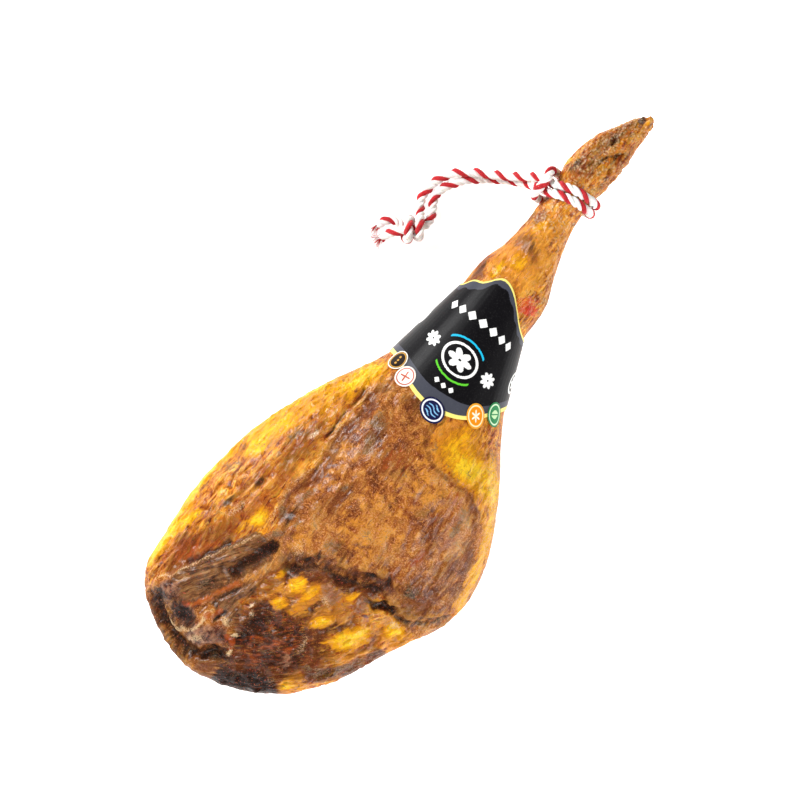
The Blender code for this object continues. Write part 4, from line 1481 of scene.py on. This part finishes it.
@dataclass(frozen=True)
class PaperSeal:
    """A round printed paper seal on the sleeve's lower edge."""

    number: int
    ground: str
    ring: str
    edge: str
    ink: str
    sign: Sign
    rings: int = 16
    sides: int = 72
    thickness: float = 0.35
    ham_middle_y: float = 25.0
    ray_start: float = 20.0
    pulls: tuple[float, ...] = (1.0, 0.985, 0.97, 0.95, 0.92)
    ring_at: float = 0.8
    ring_half: float = 0.07
    edge_from: float = 0.9
    edge_to: float = 0.94

    def build(self, node: bpy.types.Object) -> bpy.types.Object:
        """Build the seal as a finer disc over its CAD solid and print it.

        Args:
            node: The seal's CAD node.

        Returns:
            The seal, which stands for its CAD node.
        """
        points = points_of(node)
        middle = points.mean(axis=0)
        first, second, outward = np.linalg.svd(points - middle)[2]
        if outward[2] + outward[1] * np.sign(middle[1] - self.ham_middle_y) < 0:
            outward = -outward
        if np.cross(first, second) @ outward < 0:
            second = -second
        radii = [np.abs((points - middle) @ axis).max() for axis in (first, second)]
        tree = tree_of(node)
        share = np.linspace(0, 1, self.rings)
        turn = np.linspace(0, 2 * np.pi, self.sides, endpoint=False)
        top = []
        for s in share[1:]:
            for t in turn:
                flat = middle + first * math.cos(t) * radii[0] * s + second * math.sin(t) * radii[1] * s
                top.append(self.dropped(tree, flat, outward, middle))
        centre = self.dropped(tree, middle, outward, middle)
        under = outward * self.thickness
        shell = np.vstack([centre, *top, np.array(top[-self.sides :]) - under, centre - under])
        faces = [(0, 1 + j, 1 + (j + 1) % self.sides) for j in range(self.sides)]
        faces += turned_over(grid_faces(self.rings, self.sides, start=1))
        last = len(shell) - 1
        base = last - self.sides
        faces += [(base + (j + 1) % self.sides, base + j, last) for j in range(self.sides)]
        paper = PrintedPaper(
            f"coated_paper_seal_{self.number}",
            self.ground,
            (("ink_ring", self.ring), ("ink_sign", self.ink), ("ink_edge", self.edge)),
            roughness=0.28,
        )
        piece = make_piece(f"seal_{self.number}_paper", shell, faces, [paper.material()])
        shares = np.concatenate([[0], np.repeat(share[1:], self.sides), np.ones(self.sides), [0]])
        turns = np.concatenate([[0], np.tile(turn, self.rings - 1), turn, [0]])
        store(piece, "ink_ring", np.exp(-(((shares - self.ring_at) / self.ring_half) ** 4)))
        store(piece, "ink_edge", smooth_step(self.edge_from, self.edge_to, shares))
        store(piece, "ink_sign", self.marked(shares * np.cos(turns), shares * np.sin(turns)))
        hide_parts(f"seal_{self.number}")
        return piece

    def dropped(
        self, tree: BVHTree, place: np.ndarray, outward: np.ndarray, middle: np.ndarray
    ) -> np.ndarray:
        """Drop a place onto the solid along its axis.

        Args:
            tree: The solid's faces.
            place: A place on the disc's plane.
            outward: The disc's axis.
            middle: The disc's middle.

        Returns:
            The place on the solid's outer side.
        """
        for pull in self.pulls:
            near = middle + (place - middle) * pull
            hit = tree.ray_cast(Vector(near + outward * self.ray_start), Vector(-outward))[0]
            if hit is not None:
                return np.array(hit) + (place - near)
        return place

    def marked(self, a: np.ndarray, b: np.ndarray) -> np.ndarray:
        """Give where the seal's sign is printed.

        Args:
            a: Places across, 1 at the seal's edge.
            b: Places along.

        Returns:
            Values from 0 to 1.
        """
        distance, turn = np.hypot(a, b), np.arctan2(b, a)
        if self.sign is Sign.DOTS:
            away = np.minimum.reduce([np.hypot(a - x, b) for x in (-0.34, 0.0, 0.34)])
            return smooth_step(0.15, 0.1, away)
        if self.sign is Sign.CROSS:
            arms = np.minimum(np.abs(a), np.abs(b))
            return smooth_step(0.1, 0.06, arms) * smooth_step(0.56, 0.5, distance)
        if self.sign is Sign.WAVES:
            rows = np.abs(np.mod(b * 3.2 + 0.25 * np.sin(a * 7), 1) - 0.5)
            return smooth_step(0.2, 0.12, rows) * smooth_step(0.58, 0.52, distance)
        if self.sign is Sign.STAR:
            return smooth_step(0.04, -0.04, distance - 0.3 - 0.2 * np.cos(6 * turn))
        blade = np.abs(a) - 0.34 * np.clip(1 - (b / 0.55) ** 2, 0, 1)
        vein = np.abs(a - 0.05 * b) - 0.05
        return smooth_step(0.03, -0.03, np.maximum(blade, -vein))


# The cord


@dataclass(frozen=True)
class CordLine:
    """The cord's middle line, worked out as for its CAD tubes: one cord doubled through its hitch."""

    sections: Sections
    diameter: float = 8.8
    gap: float = 0.3
    leg: float = 14.5
    turn_x: float = 233.0
    bight_x: float = 224.0
    bight_angle: float = 34.0
    slack: float = 0.8
    stacked: float = 68.0
    knot_turns: int = 2
    knot_start: tuple[float, float, float] = (122.5, 118.5, 14.0)
    knot_end: tuple[float, float, float] = (108.3, 131.0, 14.0)
    doubled_route: Route = (
        (221.5, 60, 47), (217, 68, 36), (211, 78.5, 25), (204, 90, 16), (196, 102, 10.5),
        (187, 114, 9), (178, 122.5, 7), (166.5, 129.5, 5), (153, 132, 4.5),
    )
    inner_to_knot: Route = ((142, 121.5, 5), (131, 116.7, 9.8))
    outer_to_knot: Route = ((144, 136, 4.5), (137.5, 132.8, 5), (132.2, 129, 8.2))
    inner_tail: Route = ((101, 137, 10.5), (95, 140.5, 6), (90, 142.5, 4.6))
    outer_tail: Route = ((112.5, 139.5, 6.4), (109.5, 146, 5.2), (103.5, 150, 4.7), (97, 152.5, 4.6))
    ease_step: float = 0.4
    ease_reach: int = 11

    def beside(self) -> float:
        """Give the distance from the middle between two strands to each of them."""
        return self.diameter / 2 + self.gap

    def hitch(self) -> np.ndarray:
        """Lay the cord's way through its hitch.

        Returns:
            The line from the outer strand over and under the hock, as a bight across both strands,
            and round again to the inner strand.
        """
        half_way = (
            (6, 3.8, 0, 0), (20, 0.8, 0, 0), (self.bight_angle, 0, 0, 0), (58, 0, 0.35, 0),
            (90, 0, 0.8, 0), (130, 0, 1, 0), (200, 0, 1, 0.03), (250, 0, 0.75, 0.35),
            (300, 0, 0.3, 0.8), (340, 0, 0, 1), (362, 1.5, 0, 1), (379, 6.5, 0, 0.9),
            (391, 9.4, 0, 0.45),
        )
        crest = (self.bight_x, 360 + self.bight_angle, self.diameter + 3 * self.gap)
        sides = [
            [
                (
                    self.bight_x + (self.turn_x - self.bight_x) * drift
                    + side * (self.beside() + (self.leg - self.beside()) * apart),
                    degrees,
                    lift,
                )
                for degrees, lift, drift, apart in half_way
            ]
            for side in (1, -1)
        ]
        keys = curve_through([*sides[0], crest, *sides[1][::-1]])
        clearance = self.diameter / 2 + self.slack + keys[:, 2]
        return self.sections.skin(keys[:, 0], np.radians(keys[:, 1]), clearance)

    def doubled(self, hitch: np.ndarray) -> list[np.ndarray]:
        """Lay the two strands from the hitch to where they part before the knot.

        Args:
            hitch: The hitch's line.

        Returns:
            The outer and the inner strand.
        """
        middle = curve_through([(hitch[0] + hitch[-1]) / 2, *self.doubled_route])
        heading = unit(np.gradient(middle, axis=0))
        share = walked_along(middle) / walked_along(middle)[-1]
        turned = np.clip(share / 0.2, 0, 1)
        outward = unit(np.column_stack([heading[:, 1], -heading[:, 0] * turned, 0 * share]))
        upward = np.cross(outward, heading)
        roll = np.radians(self.stacked) * np.sin(np.pi * np.clip(share / 0.85, 0, 1)) ** 0.8
        offset = self.beside() * (outward * np.cos(roll)[:, None] + upward * np.sin(roll)[:, None])
        lines = [middle + offset, middle - offset]
        for line in lines:
            line[:, 2] = np.maximum(line[:, 2], self.diameter / 2)
        return lines

    def wrap(self) -> np.ndarray:
        """Lay the outer strand's turns round the inner one.

        Returns:
            The turns' line.
        """
        start, end = np.array(self.knot_start), np.array(self.knot_end)
        axis = unit(end - start)
        side = np.array((axis[1], -axis[0], 0))
        turn = np.radians(np.linspace(5, 360 * self.knot_turns - 70, 20 * self.knot_turns))
        share = np.linspace(0, 1, len(turn))[:, None]
        around = side * np.cos(turn)[:, None] + np.array((0, 0, 1)) * np.sin(turn)[:, None]
        return start + (end - start) * share + around * (self.diameter + 2 * self.gap)

    def eased(self, line: np.ndarray) -> np.ndarray:
        """Lay a line at small steps and round its corners.

        Args:
            line: The line's points.

        Returns:
            The new points.
        """
        fine = at_spacing(line, self.ease_step)
        weights = np.hanning(2 * self.ease_reach + 3)[1:-1]
        weights /= weights.sum()
        padded = carried_on(fine, self.ease_reach)
        return np.column_stack([np.convolve(axis, weights, "valid") for axis in padded.T])

    def whole(self) -> tuple[np.ndarray, list[int]]:
        """Lay the whole cord.

        Returns:
            The line, and where along it one stretch ends and the next begins.
        """
        hitch, wrap = self.hitch(), self.wrap()
        core = np.array((self.knot_start, self.knot_end))
        outer, inner = self.doubled(hitch)
        outer_run = curve_through([hitch[0], *outer[12::12], *self.outer_to_knot, *wrap[:2]], 8)[:-9]
        inner_run = curve_through([hitch[-1], *inner[12::12], *self.inner_to_knot, *core], 8)[:-9]
        wrap_run = curve_through([*wrap[::2], wrap[-1], *self.outer_tail], 8)
        core_run = curve_through([*core, *self.inner_tail], 8)
        cord = self.eased(
            np.vstack([core_run[::-1], inner_run[:0:-1], hitch[::-1], outer_run[1:], wrap_run])
        )
        joints = [
            int(np.linalg.norm(cord - place, axis=1).argmin())
            for place in (core[0], hitch[-1], hitch[0], wrap[0])
        ]
        return cord, [0, *joints, len(cord) - 1]


# A stretch's points, faces, material numbers and the yarns' run
Bundle = tuple[np.ndarray, Faces, list[int], np.ndarray]


@dataclass
class HockCord:
    """The cotton cord round the hock: two white strands and a red one twisted together."""

    line: CordLine
    lay: float = 20.5
    strand_radius: float = 2.38
    strand_reach: float = 2.02
    red_growth: float = 1.12
    sides: int = 12
    step: float = 1.1
    loose_yarns: int = 42
    tail_reach: float = 3.4
    tail_root: float = 1.5
    tail_length: tuple[float, float] = (5.0, 12.0)
    tail_fall: float = 3.0
    yarn_radius: float = 0.5
    yarn_lowest: float = 0.6
    yarn_rings: int = 7
    yarn_sides: int = 5
    names: tuple[str, ...] = (
        "cord_knot_core", "cord_strand_inner", "cord_hitch", "cord_strand_outer", "cord_knot_wrap",
    )
    white: CottonYarn = CottonYarn("cotton_yarn_bleached", "#FBFAF8", "#E8E4E0", "#FFFFFF")
    red: CottonYarn = CottonYarn("cotton_yarn_dyed_red", "#C4101E", "#8A0A14", "#E98A8E")

    def build(self) -> dict[str, bpy.types.Object]:
        """Returns:
            The pieces by their CAD nodes' names.
        """
        cord, ends = self.line.whole()
        materials = [self.white.material(), self.red.material()]
        pieces: dict[str, bpy.types.Object] = {}
        frames = self.frames_of(cord)
        tips = {0: cord[0] - cord[4], len(cord) - 1: cord[-1] - cord[-5]}
        for name, start, end in zip(self.names, ends, ends[1:]):
            bundle = self.twisted(cord, frames, start, end)
            for tip in tips.keys() & {start, end}:
                bundle = self.frayed(bundle, cord[tip], tips[tip], tip)
            points, faces, slots, runs = bundle
            piece = make_piece(name + "_rope", points, faces, materials)
            piece.data.polygons.foreach_set("material_index", slots)
            store(piece, "yarns", runs)
            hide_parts(name)
            pieces[name] = piece
        return pieces

    @staticmethod
    def frames_of(cord: np.ndarray) -> tuple[np.ndarray, np.ndarray]:
        """Carry two crosswise directions along the cord without twisting them.

        Args:
            cord: The cord's line.

        Returns:
            The two directions at each point.
        """
        heading = unit(np.gradient(cord, axis=0))
        first = np.zeros_like(cord)
        side = np.cross(heading[0], (0, 0, 1))
        for i, ahead in enumerate(heading):
            side = unit(side - ahead * (side @ ahead))
            first[i] = side
        return first, np.cross(heading, first)

    def twisted(self, cord: np.ndarray, frames: tuple[np.ndarray, ...], start: int, end: int) -> Bundle:
        """Twist three strands along a stretch of the cord.

        Args:
            cord: The cord's line.
            frames: The crosswise directions along it.
            start: The stretch's first point.
            end: Its last point.

        Returns:
            Points, faces, material numbers and the yarns' run.
        """
        walked, numbers = walked_along(cord), np.arange(len(cord))
        count = max(4, round((walked[end] - walked[start]) / self.step))
        where = np.interp(np.linspace(walked[start], walked[end], count), walked, numbers)
        low = np.clip(np.floor(where).astype(int), 0, len(cord) - 2)
        part = (where - low)[:, None]
        middle, side_a, side_b = (
            values[low] * (1 - part) + values[low + 1] * part for values in (cord, *frames)
        )
        along = np.interp(where, numbers, walked)
        ring = np.linspace(0, 2 * np.pi, self.sides, endpoint=False)
        points, faces, slots, runs = [], [], [], []
        for strand in range(3):
            base = len(points) * self.sides
            twist = 2 * np.pi * (along / self.lay + strand / 3)
            growth = self.red_growth if strand == 0 else 1.0
            bundle = middle + self.strand_reach * growth**0.5 * (
                side_a * np.cos(twist)[:, None] + side_b * np.sin(twist)[:, None]
            )
            for k, walk in enumerate(along):
                angle = ring + twist[k]
                puff = 1 + 0.05 * np.sin(angle * 5 + walk * 2.6) + 0.03 * np.sin(walk * 5.1 + strand)
                across = np.cos(angle)[:, None] * side_a[k] + np.sin(angle)[:, None] * side_b[k]
                points.append(bundle[k] + self.strand_radius * growth * puff[:, None] * across)
                yarns = (walk + ring * 1.2, ring * 2.4 - walk * 0.9, 0 * ring + strand * 9)
                runs.append(np.column_stack(yarns))
            tube = rod_faces(count, self.sides, base)
            faces += tube
            slots += [int(strand == 0)] * len(tube)
        return np.vstack(points), faces, slots, np.vstack(runs)

    def frayed(self, bundle: Bundle, tip: np.ndarray, way: np.ndarray, seed: int) -> Bundle:
        """Add loose yarns at an end of the cord.

        Args:
            bundle: The stretch's points, faces, material numbers and run.
            tip: Where the cord ends.
            way: The direction it ends in.
            seed: Seeds the yarns' lengths and bends. The first end's are mostly red.

        Returns:
            The same with the loose yarns.
        """
        points, faces, slots, runs = bundle
        draw = np.random.default_rng(11 + seed)
        way = unit(way)
        side = unit(np.cross(way, (0, 0, 1)))
        up = np.cross(side, way)
        rings, sides = self.yarn_rings, self.yarn_sides
        ring = np.linspace(0, 2 * np.pi, sides, endpoint=False)
        thread = np.cos(ring)[:, None] * side + np.sin(ring)[:, None] * up
        t = np.linspace(0, 1, rings)[:, None]
        more_points, more_runs, base = [points], [runs], len(points)
        for number in range(self.loose_yarns):
            turn, reach = draw.uniform(0, 2 * np.pi), self.tail_reach * math.sqrt(draw.uniform(0.05, 1))
            root = tip + reach * (side * math.cos(turn) + up * math.sin(turn)) - way * self.tail_root
            spread = 0.55 * (side * math.cos(turn) + 0.4 * up * math.sin(turn))
            length, droop = draw.uniform(*self.tail_length), draw.uniform(-0.5, 0.5)
            path = root + way * length * t + spread * length * t**2 + side * droop * length * t**2
            path[:, 2] = np.maximum(path[:, 2] - self.tail_fall * t[:, 0] ** 2, self.yarn_lowest)
            for k, place in enumerate(path):
                more_points.append(place + self.yarn_radius * (1 - 0.6 * k / (rings - 1)) * thread)
                more_runs.append(np.column_stack([ring * 0 + k * 2, ring * 2, ring * 0 + number]))
            yarn = rod_faces(rings, sides, base)
            faces = faces + yarn
            slots = slots + [int((number % 3 != 0) == (seed == 0))] * len(yarn)
            base += rings * sides
        return np.vstack(more_points), faces, slots, np.vstack(more_runs)


# The studio


@dataclass(frozen=True)
class Studio:
    """A white light table with soft lamps on both sides, and the camera straight above it."""

    seen_mm: float = 744.0
    middle: tuple[float, float] = (-17.4, 33.9)
    turn_degrees: float = -51.5
    camera_height: float = 8000.0
    outline_height: float = 62.0
    sensor: float = 36.0
    floor_half: float = 9.0
    floor_glow: float = 0.75
    floor_drop: float = 0.0005
    lamp_aim: tuple[float, float, float] = (0.0, 0.0, 0.05)
    room_color: str = "#FFF8EE"
    room_light: float = 0.12
    lamps: tuple[tuple[str, tuple[float, float, float], float, float, float], ...] = (
        ("lamp_left", (0.1, 1.6, 1.1), 1.0, 0.8, 50.0),
        ("lamp_right", (-0.1, -1.6, 1.1), 1.5, 1.0, 38.0),
        ("lamp_rump", (-1.7, 0.1, 1.2), 1.2, 1.2, 14.0),
    )

    def build(self) -> None:
        """Make the floor, the lamps, the world and the camera."""
        self.floor()
        for lamp in self.lamps:
            self.lamp(*lamp)
        world = bpy.data.worlds.new("pale_room")
        world.use_nodes = True
        back = world.node_tree.nodes["Background"]
        back.inputs["Color"].default_value = linear(self.room_color)
        back.inputs["Strength"].default_value = self.room_light
        scene = bpy.context.scene
        scene.world = world
        scene.view_settings.view_transform = "Standard"
        scene.view_settings.look = "None"
        self.camera()

    def floor(self) -> None:
        """Make the light table: opal glass lit from below."""
        mesh = bpy.data.meshes.new("light_table")
        half = self.floor_half
        ground = [(-half, -half, 0), (half, -half, 0), (half, half, 0), (-half, half, 0)]
        mesh.from_pydata(ground, [], [(0, 1, 2, 3)])
        r = Recipe("opal_light_table")
        cloudy = r.grain(r.millimetres(), 400, 2, 0.5)
        glass = r.finish(
            Base_Color=r.ramp(cloudy, (0.3, "#F2F2F2"), (0.7, "#F6F6F6")),
            Roughness=0.9,
            Emission_Color=linear("#FFFFFF"),
            Emission_Strength=self.floor_glow,
            Specular_IOR_Level=0.1,
        )
        mesh.materials.append(glass)
        table = bpy.data.objects.new("light_table", mesh)
        table.location.z = -self.floor_drop
        bpy.context.scene.collection.objects.link(table)

    def lamp(
        self, name: str, place: tuple[float, float, float], width: float, height: float, power: float
    ) -> None:
        """Hang a soft lamp that points at the ham.

        Args:
            name: The lamp's name.
            place: Where it hangs, in metres.
            width: Its width in metres.
            height: Its height in metres.
            power: Its power in watts.
        """
        light = bpy.data.lights.new(name, "AREA")
        light.shape = "RECTANGLE"
        light.size = width
        light.size_y = height
        light.energy = power
        lamp = bpy.data.objects.new(name, light)
        lamp.location = place
        lamp.rotation_euler = (Vector(self.lamp_aim) - Vector(place)).to_track_quat("-Z", "Y").to_euler()
        bpy.context.scene.collection.objects.link(lamp)

    def camera(self) -> None:
        """Hang the camera over the table, turned as the photograph is."""
        lens = bpy.data.cameras.new("camera_above")
        lens.sensor_width = self.sensor
        lens.lens = self.sensor * self.camera_height / self.seen_mm
        lens.clip_start, lens.clip_end = 0.1, 50
        camera = bpy.data.objects.new("camera_above", lens)
        x, y = self.middle
        camera.location = (x * MM, y * MM, (self.camera_height + self.outline_height) * MM)
        camera.rotation_euler = (0, 0, math.radians(self.turn_degrees))
        bpy.context.scene.collection.objects.link(camera)
        bpy.context.scene.camera = camera


def main() -> None:
    """Build the studio and dress the ham, its sleeve, seals and cord."""
    logging.basicConfig(level=logging.INFO, format="%(message)s")
    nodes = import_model()["nodes"]
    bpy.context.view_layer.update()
    Studio().build()
    sections = Sections.of(nodes["ham"])
    for name, piece in HockCord(CordLine(sections)).build().items():
        LOG.info("%s: %d faces", name, len(piece.data.polygons))
    seals = (
        PaperSeal(1, "#1D120C", "#B98A3C", "#F3EDE0", "#C9963F", Sign.DOTS),
        PaperSeal(2, "#F5EEEA", "#B4543A", "#F3E6DC", "#B4543A", Sign.CROSS),
        PaperSeal(3, "#14163F", "#E9ECF4", "#14163F", "#7FB6DE", Sign.WAVES),
        PaperSeal(4, "#EE8E12", "#FBE9B8", "#E8A02A", "#FFF4DC", Sign.STAR),
        PaperSeal(5, "#2E8450", "#CFE8C6", "#2E8450", "#BFE0AE", Sign.LEAF),
    )
    dressed = [
        PaperSleeve(nodes["label_sleeve"], sections).build(),
        *[seal.build(nodes[f"seal_{seal.number}"]) for seal in seals],
        CuredHam(nodes["ham"], sections).build(),
    ]
    for piece in dressed:
        LOG.info("%s: %d faces", piece.name, len(piece.data.polygons))


if __name__ == "__main__":
    main()
